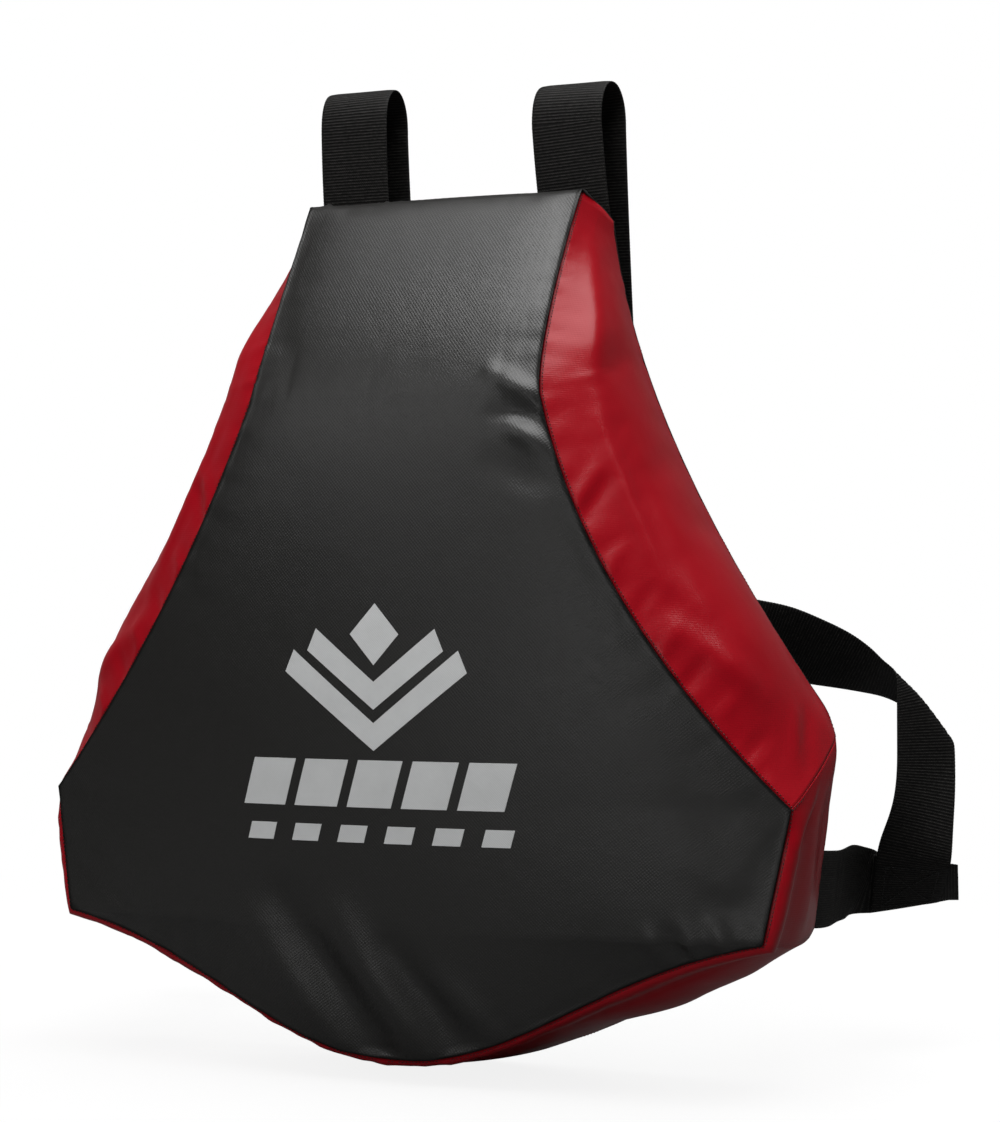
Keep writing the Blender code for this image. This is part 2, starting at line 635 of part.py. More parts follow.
def folded(frame, u, v):
    """The point and normal of the belt's strip at u along and v across, before, in or past the fold."""
    root2 = math.sqrt(2)
    crease, before, normal, turn = (frame[k] for k in ("crease", "before", "normal", "turn"))
    across_fold = (u + v) / root2
    foot = Vector((FOLD_X, FOLD_Y, FOLD_Z)) + crease * (u - v) / root2
    if across_fold <= 0:
        return foot + before * across_fold, normal
    angle = min(across_fold / FOLD_RADIUS, turn)
    point = foot + before * FOLD_RADIUS * math.sin(angle) + normal * FOLD_RADIUS * (1 - math.cos(angle))
    rest = across_fold - FOLD_RADIUS * angle
    ahead = before * math.cos(angle) + normal * math.sin(angle)
    return point + ahead * rest, normal * math.cos(angle) - before * math.sin(angle)


def fold_row(frame, u, skew):
    """A row of the strip at u, square to it for a skew of 0 and along the crease for a skew of 1."""
    half = WEB / 2
    one, _ = folded(frame, u + skew * half, -half)
    other, normal = folded(frame, u - skew * half, half)
    return one, other, normal


def drop_place(frame):
    """The middle of the belt's lap on the side tab, the way the strip runs there and its outside normal."""
    lean = math.radians(LAP_LEAN_DEG)
    down, outside = frame["down"], frame["facing"]
    start = frame["middle"] + down * DROP_BEND
    ahead = down * math.cos(lean) - outside * math.sin(lean)
    normal = outside * math.cos(lean) + down * math.sin(lean)
    return start + ahead * (BEND_LEAD + TAB_LAP / 2), ahead, normal


def drop_rows(frame):
    """The rows of the belt's hanging end, from its bend to the end of its lap."""
    middle, ahead, _ = drop_place(frame)
    corner = frame["middle"] + frame["down"] * DROP_BEND
    first, last = corner - frame["down"] * BEND_LEAD, middle - ahead * TAB_LAP / 2
    centres = [bezier((first, corner, last), i / BEND_STEPS) for i in range(BEND_STEPS + 1)]
    centres.append(middle + ahead * TAB_LAP / 2)
    return straight_rows(centres, [-frame["outwards"]] * len(centres))


def build_belt():
    """The back belt: level behind the wearer, folded at each end and hanging down to its side tab."""
    frame = fold_frame()
    one, other, _ = fold_row(frame, -FOLD_LEAD, 0)
    start = (one + other) / 2
    across_end = (other - one).normalized()
    along_end = (frame["crease"] + frame["before"]).normalized()
    flat = Vector((BELT_FLAT_HALF, BELT_Y, BELT_Z))
    curve = (flat, flat + Vector((BELT_LEAD, 0, 0)), start - along_end * BELT_LEAD, start)
    shares = [i / BELT_STEPS for i in range(BELT_STEPS + 1)]
    up = Vector((0, 0, 1))
    centres = [Vector((0, BELT_Y, BELT_Z))] + [bezier(curve, share) for share in shares]
    across = [up] + [up.lerp(across_end, smooth(share)) for share in shares]
    rows = straight_rows(centres, across)[:-1]
    arc = FOLD_RADIUS * frame["turn"] * math.sqrt(2)
    rows.append(fold_row(frame, -FOLD_LEAD, 0))
    rows += [fold_row(frame, arc * i / FOLD_STEPS, 1) for i in range(FOLD_STEPS + 1)]
    rows.append(fold_row(frame, arc + FOLD_LEAD, 0))
    rows += drop_rows(frame)
    normal = rows[0][2]
    fixed = []
    for a, b, n in rows:
        normal = n if n.dot(normal) > 0 else -n
        fixed.append((a, b, normal))
    belt = ribbon("back_belt", fixed, (BLACK_WEB, 0.8), open_start=True)
    mirror = belt.modifiers.new("other_half", "MIRROR")
    mirror.use_axis = (True, False, False)
    mirror.use_clip = True
    mirror.merge_threshold = 0.00005
    return frame


def build_tab(name, side, frame):
    """A side tab, from the pad's back seam to the end that is sewn to the belt."""
    middle, ahead, outside = drop_place(frame)
    middle = middle - outside * (WEB_THICK + FIT_GAP)
    outwards = frame["outwards"]
    end = middle + outwards * (WEB / 2 + TAB_END)
    lap = middle - outwards * (WEB / 2 + TAB_FLAT)
    share = (BACK_WING_Z - TAB_ROOT_Z) / (BACK_WING_Z - BACK_CORNER_Z)
    root_x = BACK_WING_HALF + (BACK_CORNER_HALF - BACK_WING_HALF) * share - 2 * COVER
    root = Vector((root_x, TAB_ROOT_OFF, TAB_ROOT_Z))
    curve = (root, root + Vector((0, TAB_LEAVE, 0)), lap - outwards * TAB_LEAD, lap)
    shares = [i / TAB_STEPS for i in range(TAB_STEPS + 1)]
    centres = [bezier(curve, share) for share in shares] + [end]
    across = [Vector((0, 0, 1)).lerp(-ahead, smooth(share)) for share in shares] + [-ahead]
    rows = straight_rows(centres, across)
    half = Vector((0, 0, WEB / 2))
    rows[0] = (root - half, root + half, rows[0][2])
    mirrored = Vector((side, 1, 1))
    rows = [tuple(p * mirrored for p in row) for row in rows]
    ribbon(name, rows, (BLACK_WEB, 0.8))


def stitch_outline():
    """The outline and the four gaps of a sewn box with a cross in it."""
    half, line = STITCH_BOX / 2, THREAD
    inner, near = half - line, line * STITCH_SLANT
    far = inner - near
    gap = [(-far, inner), (far, inner), (0, near)]
    outer = [(-half, -half), (half, -half), (half, half), (-half, half)]
    turned = [
        gap,
        [(y, -x) for x, y in gap],
        [(-x, -y) for x, y in gap],
        [(-y, x) for x, y in gap],
    ]
    return outer, turned


def build_stitch(name, centre, along, normal):
    """A sewn box with a cross, lying on the webbing."""
    outer, gaps = stitch_outline()
    across = normal.cross(along)
    turn = Matrix((along, across, normal)).transposed().to_4x4()
    lift = normal * (WEB_THICK / 2 + FIT_GAP + THREAD_HIGH / 2)
    place = Matrix.Translation(centre + lift) @ turn
    flat_outline(name, outer, gaps, THREAD_HIGH, (BLACK_WEB, 0.6), place)


def build_harness():
    """Two shoulder straps, the back belt, two side tabs and the stitches that hold them."""
    frame = build_belt()
    middle, _, outside = drop_place(frame)
    for side, where in ((-1, "left"), (1, "right")):
        mirrored = Vector((side, 1, 1))
        path = strap_path(side * STRAP_X)
        ribbon(f"{where}_shoulder_strap", straight_rows(path, [Vector((1, 0, 0))] * len(path)), (BLACK_WEB, 0.8))
        build_tab(f"{where}_side_tab", side, frame)
        junction = Vector((side * STRAP_X, BELT_Y, BELT_Z))
        build_stitch(f"{where}_belt_stitch", junction, Vector((1, 0, 0)), Vector((0, 1, 0)))
        along = frame["outwards"] * mirrored
        build_stitch(f"{where}_tab_stitch", middle * mirrored, along, outside * mirrored)


clear_scene()
PART = collection("tackle_bag")
CUTTERS = collection("cutters")
CUTTERS.hide_render = True
build_pad()
build_zip()
build_harness()
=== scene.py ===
"""The look of a wearable tackle bag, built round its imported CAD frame.

Lengths are in metres, and in millimetres where a docstring says so. The row frame has +X to the right
of someone who looks at the front, +Y from the pad to the wearer and +Z up.
"""

import enum
import json
import logging
import math
from dataclasses import dataclass, field
from typing import Callable, Iterable, Sequence

import bmesh
import bpy
import numpy as np
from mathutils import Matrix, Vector
from mathutils.bvhtree import BVHTree
from mathutils.kdtree import KDTree

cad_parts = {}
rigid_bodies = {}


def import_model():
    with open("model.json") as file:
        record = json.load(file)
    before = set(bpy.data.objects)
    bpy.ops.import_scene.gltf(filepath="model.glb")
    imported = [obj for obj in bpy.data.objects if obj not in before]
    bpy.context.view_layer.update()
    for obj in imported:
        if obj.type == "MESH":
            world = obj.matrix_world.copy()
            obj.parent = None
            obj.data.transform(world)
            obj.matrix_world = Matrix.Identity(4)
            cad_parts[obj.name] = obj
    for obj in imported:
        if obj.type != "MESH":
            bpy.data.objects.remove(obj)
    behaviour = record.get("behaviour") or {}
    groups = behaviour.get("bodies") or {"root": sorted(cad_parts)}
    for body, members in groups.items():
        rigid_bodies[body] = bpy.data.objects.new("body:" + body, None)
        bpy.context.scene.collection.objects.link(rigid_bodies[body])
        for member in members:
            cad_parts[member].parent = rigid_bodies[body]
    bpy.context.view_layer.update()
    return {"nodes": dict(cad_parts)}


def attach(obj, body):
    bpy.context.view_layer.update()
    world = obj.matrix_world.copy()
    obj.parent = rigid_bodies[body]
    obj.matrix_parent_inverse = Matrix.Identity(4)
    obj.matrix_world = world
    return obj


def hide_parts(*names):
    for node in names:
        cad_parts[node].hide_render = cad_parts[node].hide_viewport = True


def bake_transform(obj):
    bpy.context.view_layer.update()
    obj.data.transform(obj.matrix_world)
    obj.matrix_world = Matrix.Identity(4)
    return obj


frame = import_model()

MM = 0.001
MIRROR = (-1, 1, 1)
WHITE = (1, 1, 1, 1)
LOG = logging.getLogger("tackle_bag")

Points = np.ndarray
Faces = list[tuple[int, ...]]
Pair = tuple[float, float]
Triple = tuple[float, float, float]
Profile = tuple[Triple, ...]
Piece = bpy.types.Object
Socket = bpy.types.NodeSocket


class Slot(enum.Enum):
    """The record's material slots, listed beside the pieces' finishes."""

    BLACK_COVER = "black_cover"
    RED_COVER = "red_cover"
    STRIKE_FOAM = "strike_foam"
    BODY_FOAM = "body_foam"
    ZIP_TAPE = "zip_tape"
    WEBBING = "webbing"
    THREAD = "thread"


class Body(enum.Enum):
    """The frame's moving bodies that the pieces ride on."""

    PAD = "pad"
    HARNESS = "harness"


class Emboss(enum.Enum):
    """The pattern pressed into a coated fabric: the ways of its two waves, and the second one's height."""

    DIAGONAL = ((0.74, 0.0, 0.66), (0.62, 0.0, -0.78), 0.5)
    RIBBED = ((0.04, 0.05, 1.0), (0.5, 0.6, 0.0), 0.25)


# Small helpers for curves and meshes


def bezier(points: Sequence[Sequence[float]], t: Points) -> Points:
    """Points on a Bezier curve.

    Args:
        points: The control points.
        t: The places along the curve, from 0 to 1.

    Returns:
        One row per value of t.
    """
    layers = [np.broadcast_to(np.asarray(p, float), (len(t), 3)) for p in points]
    t = np.asarray(t, float)[:, None]
    while len(layers) > 1:
        layers = [a * (1 - t) + b * t for a, b in zip(layers, layers[1:])]
    return layers[0]


def ease(t: Points) -> Points:
    """A smooth step from 0 to 1."""
    t = np.clip(t, 0.0, 1.0)
    return t * t * (3 - 2 * t)


def unit(vectors: Points) -> Points:
    """The vectors with their length made 1."""
    return vectors / np.maximum(np.linalg.norm(vectors, axis=-1, keepdims=True), 1e-12)


def through(keys: Points, at: Points) -> Points:
    """A smooth curve through key rows of (place, values...).

    Args:
        keys: Rows whose first number is the place and whose others are values.
        at: The places to read.

    Returns:
        One row of values per place.
    """
    places, values = keys[:, 0], keys[:, 1:]
    slope = np.gradient(values, places, axis=0)
    i = np.clip(np.searchsorted(places, at, side="right") - 1, 0, len(places) - 2)
    span = (places[i + 1] - places[i])[:, None]
    s = ((at - places[i]) / span[:, 0])[:, None]
    a, b = values[i], values[i + 1]
    m, n = slope[i] * span, slope[i + 1] * span
    return (
        (2 * s**3 - 3 * s**2 + 1) * a + (s**3 - 2 * s**2 + s) * m
        + (3 * s**2 - 2 * s**3) * b + (s**3 - s**2) * n
    )


def clustered(count: int, fine: Sequence[float]) -> Points:
    """Places from 0 to 1, close together at both ends.

    Args:
        count: How many even steps fill the middle.
        fine: The places near 0, in rising order from 0; their mirror image lies near 1.

    Returns:
        The places in rising order.
    """
    start = np.asarray(fine, float)
    middle = np.linspace(start[-1], 1 - start[-1], count + 1)
    return np.unique(np.round(np.concatenate([start, middle, 1 - start]), 9))


def lengths(line: Points) -> Points:
    """How far along a line of points each of them lies."""
    return np.concatenate([[0], np.cumsum(np.linalg.norm(np.diff(line[:, :3], axis=0), axis=1))])


def resampled(line: Points, step: float) -> Points:
    """A line again with even spacing.

    Args:
        line: Rows of a point, with any values that follow it.
        step: The spacing, which is kept nearly.

    Returns:
        The new rows.
    """
    length = lengths(line)
    at = np.linspace(0, length[-1], max(2, int(length[-1] / step) + 1))
    return np.stack([np.interp(at, length, column) for column in line.T], axis=1)


def grid_faces(rows: int, columns: int, start: int = 0, closed: bool = False) -> Faces:
    """Quads of a grid of points.

    Args:
        rows: The number of rows.
        columns: The number of points in a row.
        start: The index of the first point.
        closed: Whether the last point of a row joins the first.

    Returns:
        The quads' corner indices.
    """
    faces = []
    for r in range(rows - 1):
        for c in range(columns if closed else columns - 1):
            d = (c + 1) % columns
            a, b = start + r * columns, start + (r + 1) * columns
            faces.append((a + c, a + d, b + d, b + c))
    return faces


def placed(name: str, data: bpy.types.ID) -> Piece:
    """A new object with this data, put into the scene.

    Args:
        name: The object's name.
        data: Its mesh, lamp or camera.

    Returns:
        The object.
    """
    obj = bpy.data.objects.new(name, data)
    bpy.context.scene.collection.objects.link(obj)
    return obj


def mesh_object(name: str, points: Points, faces: Sequence[Sequence[int]]) -> Piece:
    """A smooth mesh object in the scene.

    Args:
        name: The piece's name.
        points: Its vertices.
        faces: Its faces.

    Returns:
        The object.
    """
    mesh = bpy.data.meshes.new(name)
    mesh.from_pydata(np.asarray(points, float).tolist(), [], [tuple(map(int, f)) for f in faces])
    mesh.update()
    mesh.shade_smooth()
    return placed(name, mesh)


def joined(pieces: Iterable[tuple[Points, Iterable[Sequence[int]]]]) -> tuple[Points, Faces]:
    """The points and faces of several pieces as one.

    Args:
        pieces: Each piece's points and faces.

    Returns:
        All points, and all faces with their indices moved on.
    """
    points, faces, start = [], [], 0
    for part, corners in pieces:
        points.append(part)
        faces += [tuple(int(i) + start for i in face) for face in corners]
        start += len(part)
    return np.concatenate(points), faces


def point_array(obj: Piece) -> Points:
    """The object's vertices as rows.

    Args:
        obj: The object.

    Returns:
        A row per vertex.
    """
    points = np.zeros(len(obj.data.vertices) * 3)
    obj.data.vertices.foreach_get("co", points)
    return points.reshape(-1, 3)


def normal_array(obj: Piece) -> Points:
    """The object's vertex normals as rows.

    Args:
        obj: The object.

    Returns:
        A row per vertex.
    """
    normals = np.zeros(len(obj.data.vertices) * 3, np.float32)
    obj.data.vertex_normals.foreach_get("vector", normals)
    return normals.reshape(-1, 3).astype(float)


def place_points(obj: Piece, points: Points) -> None:
    """Put the object's vertices at the given rows."""
    obj.data.vertices.foreach_set("co", np.asarray(points, np.float32).ravel())
    obj.data.update()


def edit(obj: Piece, change: Callable[[bmesh.types.BMesh], None]) -> None:
    """Change the object's mesh as a bmesh.

    Args:
        obj: The object.
        change: What is done to the bmesh.
    """
    bm = bmesh.new()
    bm.from_mesh(obj.data)
    change(bm)
    bm.to_mesh(obj.data)
    bm.free()
    obj.data.update()


def weld(obj: Piece, distance: float = 0.01 * MM) -> None:
    """Merge points that lie together and drop what has no area.

    Args:
        obj: The object.
        distance: How near two points have to lie.
    """
    edit(obj, lambda bm: bmesh.ops.remove_doubles(bm, verts=bm.verts, dist=distance))
    edit(obj, lambda bm: bmesh.ops.dissolve_degenerate(bm, edges=bm.edges, dist=distance))


def apply_modifiers(obj: Piece) -> None:
    """Make the object's modifiers part of its mesh.

    Args:
        obj: The object.
    """
    depsgraph = bpy.context.evaluated_depsgraph_get()
    mesh = bpy.data.meshes.new_from_object(obj.evaluated_get(depsgraph), depsgraph=depsgraph)
    obj.modifiers.clear()
    obj.data = mesh


def thicken(obj: Piece, thick: float) -> None:
    """Give a surface its thickness, inwards.

    Args:
        obj: The object.
        thick: How thick it becomes.
    """
    solid = obj.modifiers.new("thickness", "SOLIDIFY")
    solid.thickness = thick
    solid.offset = -1.0
    apply_modifiers(obj)


def kd_tree(points: Points) -> KDTree:
    """A tree that finds the nearest of these points.

    Args:
        points: The points.

    Returns:
        The tree, ready for use.
    """
    tree = KDTree(len(points))
    for i, p in enumerate(points):
        tree.insert(p, i)
    tree.balance()
    return tree


def distances(points: Points, line: Points) -> tuple[Points, Points]:
    """How far points lie from a dense line of points.

    Args:
        points: The points to measure.
        line: The line's points.

    Returns:
        The distances, and the index of the nearest point of the line for each.
    """
    tree = kd_tree(line)
    found = [tree.find(p) for p in points]
    return np.array([f[2] for f in found]), np.array([f[1] for f in found])


def dress(
    obj: Piece, look: bpy.types.Material, node: str = "", body: Body | None = None,
) -> Piece:
    """Give a piece its finish and say what it stands for.

    Args:
        obj: The piece.
        look: Its finish.
        node: The CAD node that it is shown for, if there is one.
        body: The body that it rides on, where it isn't blended between two.

    Returns:
        The piece.
    """
    obj.data.materials.append(look)
    if body:
        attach(obj, body.value)
    if node:
        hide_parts(node)
    return obj


# Finishes


@dataclass(frozen=True)
class NodeKit:
    """Short ways to add and join shader nodes."""

    tree: bpy.types.NodeTree

    def feed(self, target: Socket, value: object) -> None:
        """Link an output to an input, or set the input; None leaves it as it is.

        Args:
            target: The input.
            value: A socket or a value.
        """
        if isinstance(value, Socket):
            self.tree.links.new(value, target)
        elif value is not None:
            target.default_value = value

    def add(
        self, kind: str, inputs: dict[str | int, object] | None = None, **settings: object,
    ) -> bpy.types.Node:
        """A new node.

        Args:
            kind: The node's type.
            inputs: A socket or a value for each input that isn't left as it is.
            settings: The node's properties.

        Returns:
            The node.
        """
        node = self.tree.nodes.new(kind)
        for key, value in settings.items():
            setattr(node, key, value)
        for key, value in (inputs or {}).items():
            self.feed(node.inputs[key], value)
        return node

    def math(self, operation: str, *values: object) -> Socket:
        """A math node's output for its inputs, each a number or a socket."""
        return self.add("ShaderNodeMath", dict(enumerate(values)), operation=operation).outputs[0]

    def along(self, vector: Socket, direction: Triple) -> Socket:
        """The place along a direction, times the direction's length."""
        dot = self.add("ShaderNodeVectorMath", {0: vector, 1: direction}, operation="DOT_PRODUCT")
        return dot.outputs["Value"]

    def wave(self, vector: Socket, pitch: float, way: Triple) -> Socket:
        """A sine wave with a pitch in metres along a way."""
        turn = 2 * math.pi / pitch
        return self.math("SINE", self.along(vector, tuple(turn * d for d in way)))

    def noise(self, vector: Socket, scale: float, detail: float = 3.0, rough: float = 0.5) -> Socket:
        """Noise of a scale per metre."""
        inputs = {"Vector": vector, "Scale": scale, "Detail": detail, "Roughness": rough}
        return self.add("ShaderNodeTexNoise", inputs).outputs["Fac"]

    def spread(self, value: Socket, low: float, high: float) -> Socket:
        """A value from 0 to 1 spread between two numbers."""
        inputs = {"Value": value, "To Min": low, "To Max": high}
        return self.add("ShaderNodeMapRange", inputs).outputs["Result"]

    def eased(self, value: Socket, start: Pair, end: Pair) -> Socket:
        """A value eased from one range into another."""
        inputs = dict(zip(("Value", "From Min", "From Max", "To Min", "To Max"), (value, *start, *end)))
        return self.add("ShaderNodeMapRange", inputs, interpolation_type="SMOOTHSTEP").outputs["Result"]

    def mix(self, share: Socket, a: Triple | Socket, b: Triple | Socket) -> Socket:
        """A colour between two, each a colour or a socket."""
        first, second = ((*c, 1.0) if isinstance(c, tuple) else c for c in (a, b))
        return self.add("ShaderNodeMix", {0: share, 6: first, 7: second}, data_type="RGBA").outputs[2]

    def bump(self, height: Socket, depth: float, below: Socket | None = None) -> Socket:
        """A normal from a height of 0 to 1 that stands for a depth in metres."""
        inputs = {"Strength": 1.0, "Distance": depth, "Height": height, "Normal": below}
        return self.add("ShaderNodeBump", inputs).outputs["Normal"]

    def blend(self, share: Socket, first: bpy.types.Node, second: bpy.types.Node) -> Socket:
        """A shader between two."""
        inputs = {0: share, 1: first.outputs[0], 2: second.outputs[0]}
        return self.add("ShaderNodeMixShader", inputs).outputs[0]


def shade(base: Triple, times: float) -> Triple:
    """A colour made lighter or darker."""
    return tuple(min(1.0, c * times) for c in base)


@dataclass(frozen=True)
class Finish:
    """A procedural finish; each kind says in paint what goes into its shader."""

    name: str
    base: Triple

    def material(self) -> bpy.types.Material:
        """The finish as a material.

        Returns:
            The material, with its shader's inputs fed.
        """
        material = bpy.data.materials.new(self.name)
        material.use_nodes = True
        kit = NodeKit(material.node_tree)
        where = kit.add("ShaderNodeTexCoord").outputs["Object"]
        shader = material.node_tree.nodes["Principled BSDF"]
        for key, value in self.paint(kit, where).items():
            kit.feed(shader.inputs[key], value)
        return material

    def paint(self, kit: NodeKit, where: Socket) -> dict[str, object]:
        """What goes into the shader.

        Args:
            kit: The material's nodes.
            where: The place in the piece's own frame.

        Returns:
            A socket or a value for each input.
        """
        raise NotImplementedError

    def tint(self, kit: NodeKit, share: Socket, low: float, high: float) -> Socket:
        """The base colour, from low to high times as bright."""
        return kit.mix(share, shade(self.base, low), shade(self.base, high))


@dataclass(frozen=True)
class CoatedFabric(Finish):
    """Coated cloth with a fine embossed pattern, soft unevenness and faint scuffs, with painted shade that
    darkens its colour and reflection at its seams.
    """

    roughness: float
    emboss: Emboss
    pitch: float
    depth: float
    gloss: float
    grain: float = 0.04 * MM
    grain_scale: float = 700.0
    hollow: float = 0.4 * MM
    hollow_scale: float = 38.0
    wear_scale: float = 210.0
    patch_scale: float = 14.0
    scuff_scale: float = 120.0
    # How dark the painted shade makes the colour right at a seam.
    seam_painted_shade: float = 0.25

    def paint(self, kit: NodeKit, where: Socket) -> dict[str, object]:
        """The emboss over a grain over soft hollows, with painted shade at the seams.

        Args:
            kit: The material's nodes.
            where: The place in the piece's own frame.

        Returns:
            A socket or a value for each input of the shader.
        """
        *ways, height = self.emboss.value
        first, second = (kit.wave(where, self.pitch, way) for way in ways)
        waves = kit.math("ADD", kit.math("MULTIPLY", first, 0.5), kit.math("MULTIPLY", second, height))
        pattern = kit.math("MULTIPLY", waves, kit.spread(kit.noise(where, self.wear_scale, 2.0), 0.2, 1.5))
        hollows = kit.bump(kit.noise(where, self.hollow_scale, 3.0, 0.55), self.hollow)
        grain = kit.bump(kit.noise(where, self.grain_scale, 3.0, 0.6), self.grain, hollows)
        patch = kit.noise(where, self.patch_scale, 4.0, 0.6)
        rub = kit.noise(where, self.scuff_scale, 5.0, 0.7)
        scuff = kit.spread(rub, self.roughness - 0.05, self.roughness + 0.06)
        # Painted shade: colour and reflection darken towards the seams, where the cover dives into its
        # grooves.
        seam = kit.add("ShaderNodeAttribute", attribute_name="seam").outputs["Fac"]
        unshaded_share = kit.math("MINIMUM", seam, 1.0)
        colour = self.tint(kit, patch, 0.95, 1.05)
        return {
            "Normal": kit.bump(pattern, self.depth, grain),
            "Base Color": kit.mix(unshaded_share, shade(self.base, self.seam_painted_shade), colour),
            "Roughness": kit.math("ADD", kit.spread(patch, -0.02, 0.02), scuff),
            "Specular IOR Level": kit.spread(unshaded_share, 0.1 * self.gloss, self.gloss),
        }


@dataclass(frozen=True)
class WovenWebbing(Finish):
    """Ribbed webbing: the ribs are in the mesh, the yarns that cross them are here."""

    name: str = "black_webbing"
    base: Triple = (0.0085, 0.0080, 0.0074)
    yarn: float = 1.5 * MM
    rib: float = 2.1 * MM
    roughness: float = 0.6

    def paint(self, kit: NodeKit, where: Socket) -> dict[str, object]:
        """Rows of yarns, each row half a turn on, with painted highlights in specks on their crests and
        painted shade in their hollows.

        Args:
            kit: The material's nodes.
            where: The place in the piece's own frame.

        Returns:
            A socket or a value for each input of the shader.
        """
        strip = kit.add("ShaderNodeUVMap", uv_map="strip").outputs[0]
        across = kit.along(strip, (2 * math.pi / self.yarn, 0.0, 0.0))
        along = kit.along(strip, (0.0, 2 * math.pi / self.rib, 0.0))
        row = kit.math("MULTIPLY", kit.math("SIGN", kit.math("SINE", along)), math.pi / 2)
        yarns = kit.spread(kit.math("SINE", kit.math("ADD", across, row)), 0.25, 0.75)
        height = kit.math("MULTIPLY", yarns, kit.spread(kit.math("COSINE", along), 0.3, 1.0))
        fuzz = kit.bump(kit.noise(where, 1500.0, 2.0), 0.12 * MM)
        # Painted light: the colour is much lighter on the yarns' crests, with glinting specks, and darker
        # in the hollows between them.
        painted_glint = kit.math("MAXIMUM", kit.spread(kit.noise(where, 620.0, 2.0, 0.65), -1.0, 2.8), 0.0)
        lit = kit.math("MULTIPLY", kit.math("POWER", height, 1.6), painted_glint)
        patch = kit.noise(where, 60.0, 4.0, 0.6)
        return {
            "Normal": kit.bump(height, 0.3 * MM, fuzz),
            "Base Color": self.tint(kit, lit, 0.10, 12.0),
            "Roughness": kit.spread(patch, self.roughness - 0.08, self.roughness + 0.1),
            "Specular IOR Level": 0.2,
        }


@dataclass(frozen=True)
class TwistedThread(Finish):
    """Bonded sewing thread with its twist."""

    twist: float = 0.9 * MM

    def paint(self, kit: NodeKit, where: Socket) -> dict[str, object]:
        """Slanted strands with flecks.

        Args:
            kit: The material's nodes.
            where: The place in the piece's own frame.

        Returns:
            A socket or a value for each input of the shader.
        """
        fleck = kit.noise(where, 800.0, 2.0)
        return {
            "Normal": kit.bump(kit.wave(where, self.twist, (0.6, 0.5, 0.62)), 0.05 * MM),
            "Base Color": self.tint(kit, fleck, 0.7, 1.4),
            "Roughness": kit.spread(fleck, 0.45, 0.62),
        }


@dataclass(frozen=True)
class ScreenPrint(Finish):
    """Pale ink printed on the coated fabric, thin enough to show its emboss and rubbed a little."""

    name: str = "pale_print"
    base: Triple = (0.66, 0.67, 0.67)
    pitch: float = 1.1 * MM

    def paint(self, kit: NodeKit, where: Socket) -> dict[str, object]:
        """A faint weave over soft hollows, with rubbed patches.

        Args:
            kit: The material's nodes.
            where: The place in the piece's own frame.

        Returns:
            A socket or a value for each input of the shader.
        """
        hollows = kit.bump(kit.noise(where, 38.0, 3.0, 0.55), 0.3 * MM)
        rub = kit.noise(where, 45.0, 5.0, 0.65)
        return {
            "Normal": kit.bump(kit.wave(where, self.pitch, (0.72, 0.0, 0.70)), 0.02 * MM, hollows),
            "Base Color": self.tint(kit, rub, 0.86, 1.06),
            "Roughness": kit.spread(rub, 0.42, 0.6),
        }


@dataclass(frozen=True)
class CutFoam(Finish):
    """Open foam with fine pores."""

    def paint(self, kit: NodeKit, where: Socket) -> dict[str, object]:
        """Cells with painted shade darkening their hollows.

        Args:
            kit: The material's nodes.
            where: The place in the piece's own frame.

        Returns:
            A socket or a value for each input of the shader.
        """
        pores = kit.add("ShaderNodeTexVoronoi", {"Vector": where, "Scale": 700.0}).outputs["Distance"]
        return {
            "Normal": kit.bump(pores, 0.5 * MM),
            # Painted shade: the colour darkens with the pores' depth.
            "Base Color": self.tint(kit, pores, 0.6, 1.1),
            "Roughness": kit.spread(kit.noise(where, 60.0), 0.85, 1.0),
        }


@dataclass(frozen=True)
class ZipPlastic(Finish):
    """Moulded black plastic of the zip, or woven where it has a weave's pitch."""

    base: Triple = (0.014, 0.014, 0.015)
    roughness: float = 0.35
    weave: float = 0.0

    def paint(self, kit: NodeKit, where: Socket) -> dict[str, object]:
        """A fine grain, under ribs where it is woven.

        Args:
            kit: The material's nodes.
            where: The place in the piece's own frame.

        Returns:
            A socket or a value for each input of the shader.
        """
        fine = kit.noise(where, 500.0, 3.0)
        normal = kit.bump(fine, 0.04 * MM)
        if self.weave > 0:
            normal = kit.bump(kit.wave(where, self.weave, (1.0, 0.0, 0.5)), 0.1 * MM, normal)
        return {
            "Normal": normal,
            "Base Color": self.tint(kit, fine, 0.8, 1.25),
            "Roughness": kit.spread(fine, self.roughness - 0.06, self.roughness + 0.1),
        }


@dataclass(frozen=True)
class PlatedSteel(Finish):
    """Dull nickel plate with fine scratches and darker hollows."""

    name: str = "nickel_plate"
    base: Triple = (0.40, 0.40, 0.42)

    def paint(self, kit: NodeKit, where: Socket) -> dict[str, object]:
        """Tarnish over a fine grain.

        Args:
            kit: The material's nodes.
            where: The place in the piece's own frame.

        Returns:
            A socket or a value for each input of the shader.
        """
        tarnish = kit.noise(where, 260.0, 4.0, 0.6)
        return {
            "Normal": kit.bump(kit.noise(where, 2500.0, 4.0, 0.7), 0.02 * MM),
            "Base Color": self.tint(kit, tarnish, 0.62, 1.25),
            "Roughness": kit.spread(tarnish, 0.42, 0.26),
            "Metallic": 1.0,
        }


BLACK_COVER = CoatedFabric(
    "black_coated_fabric", (0.0155, 0.0150, 0.0140), 0.36, Emboss.DIAGONAL,
    pitch=1.6 * MM, depth=0.055 * MM, gloss=0.66, grain=0.12 * MM,
)
RED_COVER = CoatedFabric(
    "red_coated_fabric", (0.36, 0.0020, 0.0090), 0.31, Emboss.RIBBED,
    pitch=1.4 * MM, depth=0.03 * MM, gloss=0.32,
)


# The pad


